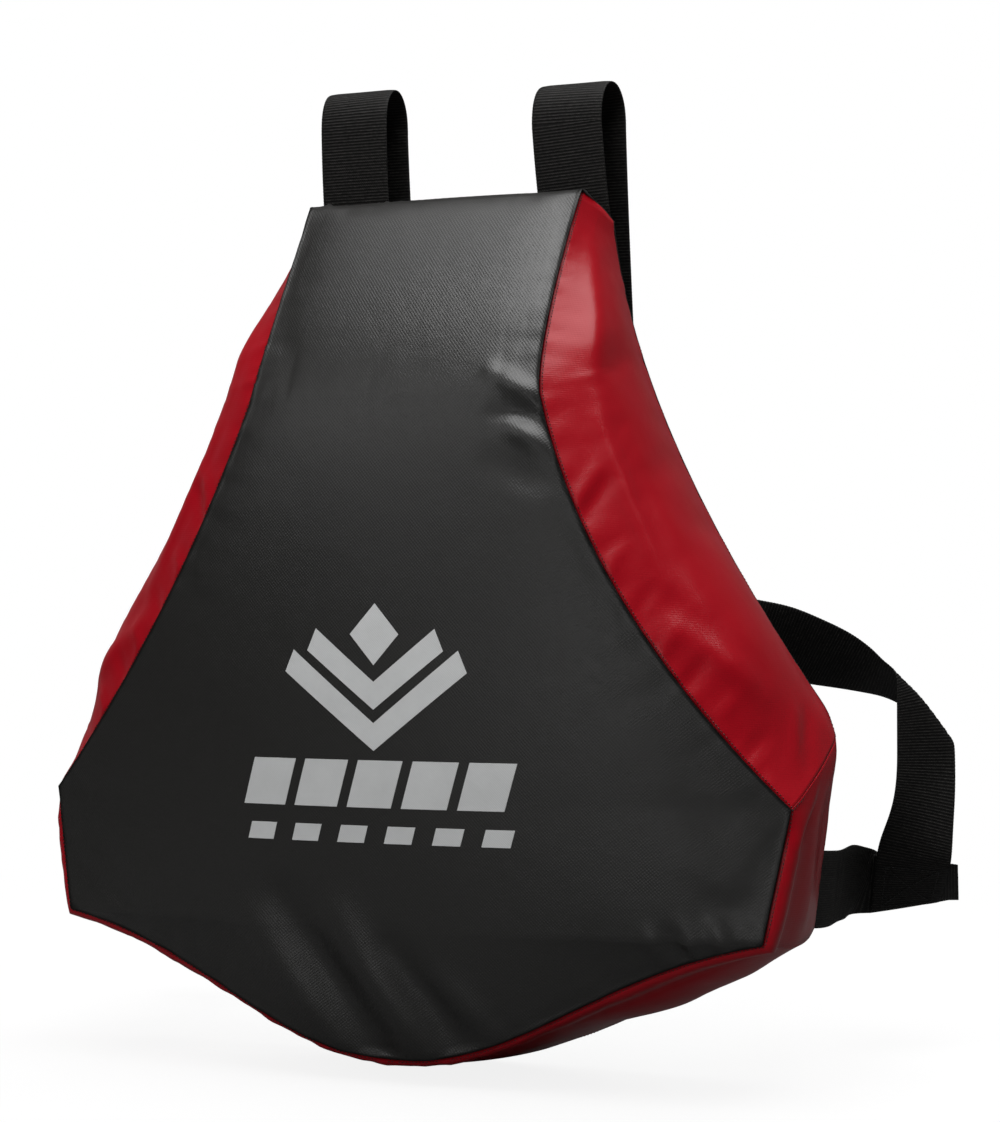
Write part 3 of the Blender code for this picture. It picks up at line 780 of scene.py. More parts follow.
@dataclass
class Fold:
    """One soft fold of the cover: a ridge or a valley along a line, all in millimetres.

    Args:
        start: One end, on the cover.
        end: The other end.
        width: How far the fold reaches to each side.
        height: How far it stands out, or in where it is below 0.
    """

    start: Triple
    end: Triple
    width: float
    height: float

    def lift(self, points: Points, normals: Points) -> Points:
        """How far the fold lifts each point along its normal.

        Args:
            points: The cover's points.
            normals: Their normals.

        Returns:
            The lift of each point.
        """
        a, b = np.array(self.start) * MM, np.array(self.end) * MM
        line = b - a
        t = np.clip((points - a) @ line / (line @ line), 0.0, 1.0)
        gap = points - (a + t[:, None] * line)
        gap -= (gap * normals).sum(1)[:, None] * normals
        far = np.linalg.norm(gap, axis=1) / (self.width * MM)
        return self.height * MM * np.exp(-0.5 * far**2) * (0.25 + 0.75 * np.sin(np.pi * (0.12 + 0.76 * t)))

    def mirrored(self) -> "Fold":
        """The same fold on the other side of the pad."""
        (x, *start), (u, *end) = self.start, self.end
        return Fold((-x, *start), (-u, *end), self.width, self.height)


def side_section(shares: Sequence[float], puffs: Sequence[float]) -> Points:
    """A section of a side gusset, as rows of (place, share of the way back, puff in millimetres).

    Args:
        shares: How far back each of its six even places lies.
        puffs: How far each stands out.

    Returns:
        The rows.
    """
    return np.array(list(zip((0, 0.2, 0.4, 0.6, 0.8, 1), shares, puffs)), float)


def lower_section(puffs: Sequence[float]) -> Points:
    """A section of the lower band, whose rows lie close together beside its front seam.

    Args:
        puffs: How far each of its ten places stands out, in millimetres.

    Returns:
        Rows of (place, share of the way back, puff).
    """
    places = (0, 0.1, 0.2, 0.3, 0.4, 0.46, 0.52, 0.6, 0.8, 1)
    shares = (0, 0.018, 0.045, 0.085, 0.13, 0.17, 0.23, 0.40, 0.72, 1)
    return np.array(list(zip(places, shares, puffs)), float)


SIDE_PUFF = side_section((0, 0.1, 0.21, 0.47, 0.74, 1), (0, 14, 24, 19, 11, 0))
BAND_PUFF = lower_section((0, 4.0, 6.3, 7.0, 5.8, 3.8, 4.4, 6.3, 5, 0))
FULL_PUFF = lower_section((0, 3.4, 5.0, 5.4, 5.0, 5.2, 8.0, 12.5, 12.5, 0))
SLIM_PUFF = lower_section((0, 2.2, 3.2, 3.2, 2.4, 1.7, 1.6, 1.6, 1.2, 0))


@dataclass
class PadForm:
    """The pad's sewn form: two seams and the gusset between them.

    Points are in millimetres for the right half; the left half mirrors it. A place along a seam is a
    station, which runs from the top corner, at 0, down the side and along the bottom to its middle, at 24.
    """

    top: Triple = (99, -30, 269)
    neck: Triple = (97, -104.5, 160)
    bend: Triple = (102.5, -110.5, 130)
    waist: Triple = (142, -135.5, -4.5)
    wing: Triple = (260, -92.5, -126)
    corner: Triple = (244.5, -101.5, -207.4)
    side: Triple = (134.5, -99.5, -230)
    belly: Triple = (88, -111, -293)
    bottom: Triple = (0, -104.5, -293)
    back_top: Triple = (111, 0, 251)
    back_waist: Triple = (126, 0, 110)
    back_wing: Triple = (263.5, 0, -79)
    back_corner: Triple = (247.5, 0, -208.5)
    back_side: Triple = (164.5, 0, -244.5)
    back_belly: Triple = (95, 0, -306)
    back_bottom: Triple = (0, 0, -306)
    back_share: float = 0.86 * 5 / 13
    wing_round: float = 0.5
    turn_reach: float = 0.55
    centre_bulge: float = 3.0
    belly_depth: float = 155.0
    stations: tuple[float, ...] = (0, 5, 13, 16, 24)
    sections: tuple[tuple[float, Points], ...] = (
        (0, side_section((0, 0.2, 0.4, 0.6, 0.8, 1), (0, 1, 2, 2, 1, 0))),
        (3.6, SIDE_PUFF),
        (7, SIDE_PUFF),
        (10.6, side_section((0, 0.1, 0.21, 0.47, 0.74, 1), (0, 15, 26, 23, 15, 0))),
        (13, side_section((0, 0.12, 0.39, 0.6, 0.8, 1), (0, 3, 6, 6.5, 6, 0))),
        (13.9, BAND_PUFF),
        (15.7, BAND_PUFF),
        (17.2, FULL_PUFF),
        (18.2, FULL_PUFF),
        (20.6, SLIM_PUFF),
        (24, SLIM_PUFF),
    )

    def front_seam(self, at: Points) -> Points:
        """Points of the front seam at stations of the right half.

        Args:
            at: The stations.

        Returns:
            A point per station.
        """
        curves = (
            (self.top, self.neck, self.bend), (self.bend, self.waist, self.wing),
            (self.wing, self.corner), (self.corner, self.side, self.belly, self.bottom),
        )
        return self._seam(curves, at)

    def back_seam(self, at: Points) -> Points:
        """Points of the back seam at stations of the right half, rounded at the wing.

        Args:
            at: The stations.

        Returns:
            A point per station.
        """
        top, waist, wing = (np.array(p, float) for p in (self.back_top, self.back_waist, self.back_wing))
        first = top + (waist - top) * self.back_share
        middle = waist + (wing - waist) * self.back_share
        split = first + (middle - first) * self.back_share
        curves = (
            (top, first, split), (split, middle, wing),
            (wing, self.back_corner), (self.back_corner, self.back_side, self.back_belly, self.back_bottom),
        )
        seam = self._seam(curves, at)
        turning, reach = self.stations[2], self.wing_round
        near = np.abs(at - turning) < reach
        before, after = self._seam(curves, np.array([turning - reach, turning + reach])) / MM
        seam[near] = bezier((before, wing, after), (at[near] - turning + reach) / (2 * reach)) * MM
        return seam

    def _seam(self, curves: Sequence[Sequence[Sequence[float]]], at: Points) -> Points:
        """Points of a seam.

        Args:
            curves: The control points of its four curves, each between two of the form's stations.
            at: The stations.

        Returns:
            A point per station.
        """
        out = np.zeros((len(at), 3))
        for curve, low, high in zip(curves, self.stations, self.stations[1:]):
            inside = (at >= low) & (at <= high)
            out[inside] = bezier(curve, (at[inside] - low) / (high - low)) * MM
        return out

    def section(self, at: Points, rows: Points) -> tuple[Points, Points]:
        """The gusset's section at stations.

        Args:
            at: The stations.
            rows: The places across the gusset, from 0 at the front seam to 1 at the back seam.

        Returns:
            The share of the way back and the puff outwards, each with a row per station.
        """
        places = np.array([place for place, _ in self.sections], float)
        stack = np.stack([through(section, rows) for _, section in self.sections])
        i = np.clip(np.searchsorted(places, at, side="right") - 1, 0, len(places) - 2)
        t = ease((at - places[i]) / (places[i + 1] - places[i]))[:, None, None]
        mixed = stack[i] * (1 - t) + stack[i + 1] * t
        return mixed[:, :, 0], mixed[:, :, 1] * MM

    def outwards(self, at: Points) -> Points:
        """The way in which the gusset puffs, turned gently round the corners.

        Args:
            at: The stations.

        Returns:
            A direction per station.
        """
        ahead = self.front_seam(np.minimum(at + self.turn_reach, self.stations[-1]))
        behind = self.front_seam(np.maximum(at - self.turn_reach, 0.0))
        along = ahead - behind
        out = unit(np.stack([-along[:, 2], np.zeros(len(at)), along[:, 0]], axis=1))
        out[at > self.stations[-1] - 1e-6] = (0.0, 0.0, -1.0)
        return out

    def gusset(self, at: Points, rows: Points) -> Points:
        """The gusset's points.

        Args:
            at: The stations.
            rows: The places across it, from 0 at the front seam to 1 at the back seam.

        Returns:
            A row of points per station.
        """
        front, back = self.front_seam(at), self.back_seam(at)
        share, puff = self.section(at, rows)
        ladder = front[:, None] * (1 - share[..., None]) + back[:, None] * share[..., None]
        return ladder + self.outwards(at)[:, None] * puff[..., None]

    def middle_depth(self, z: Points) -> Points:
        """How far the middle of the front panel stands ahead of the back.

        Args:
            z: The heights.

        Returns:
            A depth per height.
        """
        bend = (0, -self.bend[1] + self.centre_bulge, self.bend[2])
        upper = ((0, -self.top[1], self.top[2]), (0, -self.neck[1] + self.centre_bulge, self.neck[2]), bend)
        half = (self.bend[2] + self.bottom[2]) / 2
        lower = (bend, (0, self.belly_depth, half), (0, -self.bottom[1], self.bottom[2]))
        halves = (bezier(upper, np.linspace(0, 1, 200)), bezier(lower, np.linspace(0, 1, 400))[1:])
        line = np.concatenate(halves) * MM
        return np.interp(-z, -line[:, 2], line[:, 1])

    def bulged(self, grid: Points, seam_depth: Points, half: Points) -> Points:
        """Points of the front panel moved ahead by its crown.

        Args:
            grid: The points, on the straight lines between the seams.
            seam_depth: How far the seam stands ahead of the back at each point's height.
            half: The panel's half width at each point's height.

        Returns:
            The moved points.
        """
        crown = 1 - np.clip(grid[:, 0] / np.maximum(half, 1e-6), -1, 1) ** 2
        out = grid.copy()
        out[:, 1] = -(seam_depth + (self.middle_depth(grid[:, 2]) - seam_depth) * crown)
        return out

    def seam_lines(self, step: float = 1.2 * MM) -> tuple[Points, Points]:
        """Both seams as closely spaced points, each whole, from left round to right.

        Args:
            step: The spacing of the points.

        Returns:
            The front seam and the back seam.
        """
        at = np.linspace(0, self.stations[-1], 2400)
        rights = (resampled(seam, step) for seam in (self.front_seam(at), self.back_seam(at)))
        front, back = (np.concatenate([right[:-1] * MIRROR, right[::-1]]) for right in rights)
        return front, back


@dataclass
class SeamWork:
    """What sewing does to the cover beside a seam: the edges dive in and the cloth puckers."""

    groove: float = 0.5 * MM
    groove_wide: float = 1.5 * MM
    pucker: float = 0.55 * MM
    pucker_reach: float = 11 * MM
    waves: tuple[Pair, ...] = ((9.0, 0.5), (14.0, 0.8), (23.0, 1.0), (41.0, 0.9))
    sway: float = 1.3
    sway_pitch: float = 2.7
    gate_pitch: float = 4.1
    usual_pitch: float = 20.0
    reach_power: float = 0.6
    seam_clear: float = 0.8 * MM
    seed: int = 11

    def lift(self, points: Points, line: Points, strength: float, seed: int) -> Points:
        """How far each point is lifted beside a seam.

        Args:
            points: The cover's points.
            line: The seam's points.
            strength: How strongly the cloth puckers, 1 being usual.
            seed: Which puckers to use.

        Returns:
            The lift of each point.
        """
        far, nearest = distances(points, line)
        along = lengths(line)[nearest]
        generator = np.random.default_rng(self.seed + seed)
        total = np.zeros(len(far))
        for pitch, share in self.waves:
            bend = generator.uniform(0, 2 * np.pi, 3)
            phase = 2 * np.pi * along / (pitch * MM) + bend[0]
            phase += self.sway * np.sin(along / (pitch * self.sway_pitch * MM) + bend[1])
            gate = 0.5 + 0.5 * np.sin(along / (pitch * self.gate_pitch * MM) + bend[2])
            reach = self.pucker_reach * (pitch / self.usual_pitch) ** self.reach_power
            total += share * gate * np.sin(phase) * np.exp(-far / reach) * (far / (far + self.seam_clear))
        dive = -self.groove * np.exp(-((far / self.groove_wide) ** 2))
        return total * self.pucker * strength + dive


@dataclass
class Inflation:
    """Cloth simulation of the whole cover, blown up a little by its filling between sewn seams."""

    voxel: float = 6 * MM
    frames: int = 20
    growth: Pair = (-0.008, -0.035)
    sewn: float = 5 * MM
    still_back: float = 4 * MM
    hold_edge: float = 1.6
    weld_gap: float = 0.05 * MM
    side_facing: float = 0.72
    cap: Triple = (4 * MM, 8 * MM, 3.5 * MM)
    calm_rounds: int = 14
    ripple: float = 0.3
    neighbours: int = 7
    nearness: float = 0.8 * MM
    sliding: float = 0.35
    cloth: dict[str, object] = field(default_factory=lambda: {
        "quality": 6, "mass": 0.15, "tension_stiffness": 40, "compression_stiffness": 40,
        "shear_stiffness": 12, "bending_stiffness": 0.6,
        "use_pressure": True, "uniform_pressure_force": 4.0,
        "vertex_group_mass": "sewn", "vertex_group_shrink": "slack",
    })
    before: Points = field(default_factory=lambda: np.zeros((0, 3)))
    moved: Points = field(default_factory=lambda: np.zeros((0, 3)))

    def run(self, pieces: Sequence[tuple[Points, Sequence[Sequence[int]]]], seams: Points) -> None:
        """Simulate the closed cover and keep how far its points move.

        Args:
            pieces: Each panel's points and faces.
            seams: Points along the seams, which stay where they are.
        """
        shell = mesh_object("shell_for_cloth", *joined(pieces))
        weld(shell, self.weld_gap)
        remesh = shell.modifiers.new("remesh", "REMESH")
        remesh.mode = "VOXEL"
        remesh.voxel_size = self.voxel
        apply_modifiers(shell)
        self.before = point_array(shell)
        far, _ = distances(self.before, seams)
        flat_back = self.before[:, 1] > -self.still_back
        on_side = np.abs(normal_array(shell)[:, 1]) < self.side_facing
        hold = np.where(flat_back, 1.0, np.clip(self.hold_edge - far / self.sewn, 0, 1))
        for name, weights in (("sewn", hold), ("slack", on_side)):
            group = shell.vertex_groups.new(name=name)
            for i, weight in enumerate(weights):
                group.add([i], float(weight), "REPLACE")
        self._simulate(shell)
        self.moved = self._calmed(point_array(shell) - self.before, shell) * (1 - hold)[:, None]
        bpy.data.objects.remove(shell)

    def _calmed(self, moved: Points, shell: Piece) -> Points:
        """The moves with most of their small ripples taken out.

        Args:
            moved: How far each point of the shell moved.
            shell: The shell.

        Returns:
            The calmer moves.
        """
        ends = np.zeros(len(shell.data.edges) * 2, np.int64)
        shell.data.edges.foreach_get("vertices", ends)
        a, b = ends[::2], ends[1::2]
        size = len(moved)
        count = (np.bincount(a, minlength=size) + np.bincount(b, minlength=size))[:, None]
        calm = moved
        for _ in range(self.calm_rounds):
            sums = [np.bincount(a, calm[b, k], size) + np.bincount(b, calm[a, k], size) for k in range(3)]
            calm = np.stack(sums, axis=1) / count
        return calm * (1 - self.ripple) + moved * self.ripple

    def _simulate(self, shell: Piece) -> None:
        """Blow the shell up for a few frames and make the result its mesh.

        Args:
            shell: The shell.
        """
        modifier = shell.modifiers.new("cloth", "CLOTH")
        for key, value in self.cloth.items():
            setattr(modifier.settings, key, value)
        modifier.settings.shrink_min, modifier.settings.shrink_max = self.growth
        modifier.settings.effector_weights.gravity = 0.0
        modifier.collision_settings.use_collision = False
        modifier.point_cache.frame_start, modifier.point_cache.frame_end = 1, self.frames
        scene = bpy.context.scene
        for frame_number in range(1, self.frames + 1):
            scene.frame_set(frame_number)
        apply_modifiers(shell)
        scene.frame_set(1)

    def carry(self, points: Points, normals: Points, cap: float) -> Points:
        """Move points as the nearest simulated cloth moved.

        Args:
            points: The points to move.
            normals: Their normals.
            cap: How far a point may move.

        Returns:
            The moved points.
        """
        if not len(self.before):
            return points
        tree = kd_tree(self.before)
        out = points.copy()
        for i, p in enumerate(points):
            near = tree.find_n(p, self.neighbours)
            weights = np.array([1 / (n[2] + self.nearness) ** 2 for n in near])
            step = (self.moved[[n[1] for n in near]] * weights[:, None]).sum(0) / weights.sum()
            ahead = normals[i] * (step @ normals[i])
            step = ahead + self.sliding * (step - ahead)
            size = float(np.linalg.norm(step))
            out[i] += step * (cap * math.tanh(size / cap) / max(size, 1e-9))
        return out


@dataclass
class Cover:
    """The sewn cover: front panel, two side gussets, the lower band and the back panel."""

    form: PadForm = field(default_factory=PadForm)
    seams: SeamWork = field(default_factory=SeamWork)
    inflation: Inflation = field(default_factory=Inflation)
    thick: float = 1.0 * MM
    seam_shade: float = 2.0 * MM
    fold_gap: float = 4.0 * MM
    flats: tuple[Pair, ...] = ((0.53, 0.65), (0.17, 0.48), (0.17, 0.48), (0.13, 0.76), (0.53, 0.58))
    puckers: Triple = (0.8, 1.25, 1.0)
    front_rows: tuple[int, ...] = (40, 74, 22)
    belly_rows: int = 16
    belly_edges: tuple[float, ...] = (0, 0.02, 0.05, 0.09)
    top_rows: int = 5
    top_edges: tuple[float, ...] = (0, 0.04, 0.12, 0.25)
    soft_rounds: int = 6
    soft_spread: tuple[Pair, ...] = ((1, 0.5), (2, 0.4), (3, 0.3))
    soft_height: tuple[Pair, ...] = ((0, 1.0), (1, 0.85), (2, 0.55), (3, 0.22), (4, 0.06))
    front_columns: int = 104
    side_columns: int = 20
    band_columns: int = 24
    side_close: tuple[float, ...] = (12.75, 12.87, 12.95, 13)
    band_close: tuple[float, ...] = (13, 13.04, 13.1, 13.2)
    front_edges: tuple[float, ...] = (0, 0.0012, 0.0032, 0.0065, 0.011, 0.017, 0.025)
    gusset_edges: tuple[float, ...] = (0, 0.008, 0.02, 0.036, 0.058, 0.085)
    zip_window: Triple = (150 * MM, -165 * MM, 7.5 * MM)
    back_pucker: float = 0.6
    back_step: float = 5 * MM
    back_cell: float = 6 * MM
    back_rise: float = 0.4 * MM
    front_folds: tuple[Fold, ...] = (
        Fold((106, -112, 124), (70, -108, 143), 5.0, -3.6),
        Fold((106, -113, 116), (74, -112, 117), 4.5, 2.6),
        Fold((108, -114, 95), (86, -115, 108), 4.5, -3.6),
        Fold((112, -115, 70), (78, -118, 85), 6.5, 2.4),
        Fold((-70, -124, -190), (-6, -108, -292), 9.0, 6.0),
        Fold((-96, -122, -205), (-36, -108, -288), 9.0, -5.0),
        Fold((-30, -124, -200), (24, -108, -290), 9.0, -5.5),
        Fold((6, -124, -222), (52, -108, -284), 8.0, 5.0),
        Fold((40, -124, -240), (76, -108, -278), 6.0, -2.2),
        Fold((188, -105, -225), (174, -108, -202), 3.4, -2.8),
        Fold((207, -104, -223), (196, -108, -197), 3.4, -3.0),
        Fold((224, -103, -219), (216, -107, -196), 3.2, -2.6),
        Fold((199, -105, -224), (187, -108, -201), 3.2, 1.8),
        Fold((228, -100, -190), (205, -108, -176), 6.0, 1.4),
        Fold((200, -112, -120), (235, -104, -160), 9.0, 1.2),
        Fold((-225, -106, -150), (-190, -112, -205), 9.0, 1.2),
        Fold((-240, -100, -190), (-150, -110, -228), 5.0, -1.2),
    )
    side_folds: tuple[Fold, ...] = (
        Fold((137, -96, 113), (181, -103, 12), 5.5, 2.4),
        Fold((144, -90, 110), (192, -99, 6), 6.5, -2.2),
        Fold((130, -118, 62), (139, -105, 84), 3.4, 1.8),
        Fold((135, -118, 53), (146, -104, 75), 3.4, -1.5),
        Fold((150, -119, 19), (158, -110, 35), 3.0, 1.5),
        Fold((167, -117, -9), (176, -108, 8), 3.0, -1.5),
        Fold((183, -115, -34), (191, -106, -16), 3.2, 1.7),
        Fold((197, -112, -53), (208, -101, -35), 3.4, -1.6),
        Fold((215, -107, -75), (225, -95, -59), 3.4, 1.6),
        Fold((232, -102, -96), (241, -84, -82), 3.2, -1.3),
        Fold((186, -108, -13), (230, -87, -50), 5.5, 2.0),
        Fold((197, -99, -5), (234, -72, -44), 5.5, -1.6),
        Fold((251, -40, -72), (260, -63, -101), 3.2, -1.7),
        Fold((247, -53, -69), (256, -73, -102), 3.2, 1.3),
    )
    band_folds: tuple[Fold, ...] = (
        Fold((264, -60, -135), (258, -50, -200), 3.5, 1.4),
        Fold((264, -40, -130), (260, -30, -175), 3.5, -1.2),
        Fold((262, -74, -140), (252, -76, -205), 3.0, -1.3),
        Fold((262, -22, -120), (258, -18, -170), 4.0, 1.2),
    )

    def build(self) -> list[Piece]:
        """Make the five panels.

        Returns:
            The panels, the front one first.
        """
        black, red = BLACK_COVER.material(), RED_COVER.material()
        self.front_line, self.back_line = self.form.seam_lines()
        grids = (self._front_grid(), self._side_grid(-1), self._side_grid(1), self._band_grid())
        self._inflate(grids)
        front_cap, side_cap, band_cap = self.inflation.cap
        front, side, band = self.puckers
        mirrored = [fold.mirrored() for fold in self.side_folds]
        panels = [
            self._panel("front_panel_skin", grids[0], self.front_folds, front, front_cap),
            self._panel("left_gusset_skin", grids[1], mirrored, side, side_cap),
            self._panel("right_gusset_skin", grids[2], self.side_folds, side, side_cap),
            self._panel("lower_gusset_skin", grids[3], self.band_folds, band, band_cap),
            self._back_panel("back_panel_skin"),
        ]
        nodes = ("front_panel", "left_side_gusset", "right_side_gusset", "lower_gusset", "back_panel")
        for panel, node, flat in zip(panels, nodes, self.flats):
            look, slot = (red, Slot.RED_COVER) if "gusset" in node else (black, Slot.BLACK_COVER)
            dress(panel, look, node, Body.PAD)
        return panels

    def _inflate(self, grids: Sequence[tuple[Points, Faces]]) -> None:
        """Run the cloth simulation on the closed cover.

        Args:
            grids: The points and faces of every panel but the back one.
        """
        back = self.back_line[::4] * (1, 0, 1)
        short_seam = self.form.gusset(np.zeros(1), np.linspace(0, 1, 30))[0]
        seams = np.concatenate([self.front_line, self.back_line, short_seam, short_seam * MIRROR])
        self.inflation.run([*grids, (back, [tuple(range(len(back)))])], seams)

    def _front_grid(self) -> tuple[Points, Faces]:
        """The front panel's points and faces, from the back seam over the top and down to the bottom.

        Returns:
            The points and the faces.
        """
        form, stations = self.form, self.form.stations
        columns = clustered(self.front_columns, self.front_edges)
        top = form.gusset(np.zeros(1), clustered(self.top_rows, self.top_edges)[::-1])[0]
        spans = zip(stations, stations[1:], self.front_rows)
        places = [np.linspace(low, high, count)[1:] for low, high, count in spans]
        seam = form.front_seam(np.concatenate(places))
        edge = np.concatenate([top, seam])
        share = columns * 2 - 1
        across = np.broadcast_to(share, (len(edge), len(share)))
        grid = np.stack([edge[:, :1] * across, edge[:, 1:2] + 0 * across, edge[:, 2:] + 0 * across], axis=2)
        below = slice(len(top), None)
        depth, half = np.repeat(-seam[:, 1], len(share)), np.repeat(seam[:, 0], len(share))
        grid[below] = form.bulged(grid[below].reshape(-1, 3), depth, half).reshape(grid[below].shape)
        grid = np.concatenate([grid, self._belly_rows(columns)[1:]])
        self._soften(grid, len(top) - 1)
        return grid.reshape(-1, 3), grid_faces(*grid.shape[:2])

    def _belly_rows(self, columns: Points) -> Points:
        """The front panel's rows below its side corners, down to the curved bottom seam.

        Args:
            columns: The places across the panel, from 0 to 1.

        Returns:
            A row of points per level.
        """
        form = self.form
        line = form.front_seam(np.linspace(*form.stations[-2:], 600))[::-1]
        x = (columns * 2 - 1) * form.corner[0] * MM
        seam_z = np.interp(np.abs(x), line[:, 0], line[:, 2])
        down = clustered(self.belly_rows, self.belly_edges)
        z = form.corner[2] * MM + (seam_z - form.corner[2] * MM)[None] * down[:, None]
        flat = np.stack([np.broadcast_to(x, z.shape), np.zeros_like(z), z], axis=2).reshape(-1, 3)
        half = np.interp(flat[:, 2], line[:, 2], line[:, 0])
        depth = np.interp(flat[:, 2], line[:, 2], -line[:, 1])
        return form.bulged(flat, depth, half).reshape(len(down), len(x), 3)

    def _soften(self, grid: Points, fold: int) -> None:
        """Round the fold over the top edge, less and less towards the side seams, and keep its height.

        Args:
            grid: The panel's points, which are changed.
            fold: The row of the fold.
        """
        share = np.linspace(-1, 1, grid.shape[1])
        edge = grid[fold].copy()
        inner = (1 - np.abs(share) ** 8)[None, :, None]
        for _ in range(self.soft_rounds):
            for reach, weight in self.soft_spread:
                window = slice(fold - reach, fold + reach + 1)
                before, after = grid[fold - reach - 1:fold + reach], grid[fold - reach + 1:fold + reach + 2]
                grid[window] += ((before + after) / 2 - grid[window]) * weight * inner
        sunk = edge - grid[fold]
        for reach, weight in self.soft_height:
            for row in {fold - reach, fold + reach}:
                if row > 0:
                    grid[row] += sunk * weight

    def _side_grid(self, side: int) -> tuple[Points, Faces]:
        """A side gusset's points and faces, closer together at its short wing seam.

        Args:
            side: 1 for the right gusset, -1 for the left.

        Returns:
            Its points and its faces.
        """
        at = np.concatenate([np.linspace(0, 5, 40), np.linspace(5, 12.6, 76)[1:], self.side_close])
        rows = clustered(self.side_columns, self.gusset_edges)
        grid = self.form.gusset(at, rows) * (side, 1, 1)
        faces = grid_faces(len(at), len(rows))
        return grid.reshape(-1, 3), [f[::-1] for f in faces] if side > 0 else faces

    def _band_grid(self) -> tuple[Points, Faces]:
        """The lower band's points and faces, from the left side round the bottom to the right side.

        Returns:
            The points and the faces.
        """
        at = np.concatenate([self.band_close, np.linspace(13.3, 16, 22), np.linspace(16, 24, 72)[1:]])
        rows = clustered(self.band_columns, self.gusset_edges)
        right = self.form.gusset(at, rows)
        grid = np.concatenate([right[:-1] * MIRROR, right[::-1]])
        return grid.reshape(-1, 3), grid_faces(len(grid), len(rows))

    def _panel(
        self, name: str, grid: tuple[Points, Faces], folds: Iterable[Fold], pucker: float, cap: float,
    ) -> Piece:
        """One panel of the cover, with its folds, puckers and thickness.

        Args:
            name: The piece's name.
            grid: The panel's outer points, and its faces turned outwards.
            folds: The folds in it.
            pucker: How strongly it puckers beside its seams.
            cap: How far the simulated cloth may move it.

        Returns:
            The panel.
        """
        obj = mesh_object(name, *grid)
        weld(obj)
        place_points(obj, self.inflation.carry(point_array(obj), normal_array(obj), cap))
        points, normals = point_array(obj), normal_array(obj)
        lift = sum((f.lift(points, normals) for f in folds), np.zeros(len(points)))
        seams = np.concatenate([self.front_line, self.back_line])
        lift *= ease(distances(points, seams)[0] / self.fold_gap)
        lift += self.seams.lift(points, self.front_line, pucker, 0)
        lift += self.seams.lift(points, self.back_line, 0.5 * pucker, 1)
        place_points(obj, points + normals * lift[:, None])
        self._finish_cloth(obj)
        return obj

    def _finish_cloth(self, obj: Piece) -> None:
        """Mark how far the cloth lies from its seams, for the painted shade there, then give it its
        thickness.

        Args:
            obj: The panel's outer surface.
        """
        points = point_array(obj)
        far = np.minimum(distances(points, self.front_line)[0], distances(points, self.back_line)[0])
        # The mark drives the painted shade in the coated fabric's colour and reflection beside the seams.
        mark = obj.data.attributes.new("seam", "FLOAT", "POINT")
        mark.data.foreach_set("value", np.clip(far / self.seam_shade - 0.15, 0, 1).astype(np.float32))
        thicken(obj, self.thick)

    def _back_panel(self, name: str) -> Piece:
        """The flat back panel with the zip's window in it.

        Args:
            name: The piece's name.

        Returns:
            The panel.
        """
        right = resampled(self.form.back_seam(np.linspace(0, 24, 1200)), self.back_step)[:, (0, 2)]
        outline = np.concatenate([right, (right[:-1] * (-1, 1))[::-1]])
        w, z, h = self.zip_window
        window = [(-w, z - h), (w, z - h), (w, z + h), (-w, z + h)]
        obj = flat_plate(name, outline, [window], self.back_cell)
        points = point_array(obj)
        lift = self.seams.lift(points, self.back_line, self.back_pucker, 1)
        points[:, 1] += np.minimum(lift, self.back_rise)
        place_points(obj, points)
        self._finish_cloth(obj)
        return obj


def flat_plate(name: str, outline: Points, holes: Sequence[Sequence[Pair]], cell: float) -> Piece:
    """A flat sheet across X and Z that faces +Y, cut into small cells.

    Args:
        name: The piece's name.
        outline: Its outline as (x, z) rows.
        holes: The outlines of its holes.
        cell: The size of a cell.

    Returns:
        The sheet.
    """
    bm = bmesh.new()
    for loop in (outline, *holes):
        verts = [bm.verts.new((x, 0, z)) for x, z in loop]
        for a, b in zip(verts, verts[1:] + verts[:1]):
            bm.edges.new((a, b))
    bmesh.ops.triangle_fill(bm, edges=bm.edges, use_beauty=True, use_dissolve=False)
    for column, way in ((0, Vector((1, 0, 0))), (1, Vector((0, 0, 1)))):
        places = np.asarray(outline)[:, column]
        for value in np.arange(places.min() + cell, places.max(), cell):
            everything = list(bm.verts) + list(bm.edges) + list(bm.faces)
            bmesh.ops.bisect_plane(bm, geom=everything, plane_co=way * value, plane_no=way)
    for f in bm.faces:
        f.normal_update()
        if f.normal.y < 0:
            f.normal_flip()
    mesh = bpy.data.meshes.new(name)
    bm.to_mesh(mesh)
    bm.free()
    mesh.shade_smooth()
    return placed(name, mesh)


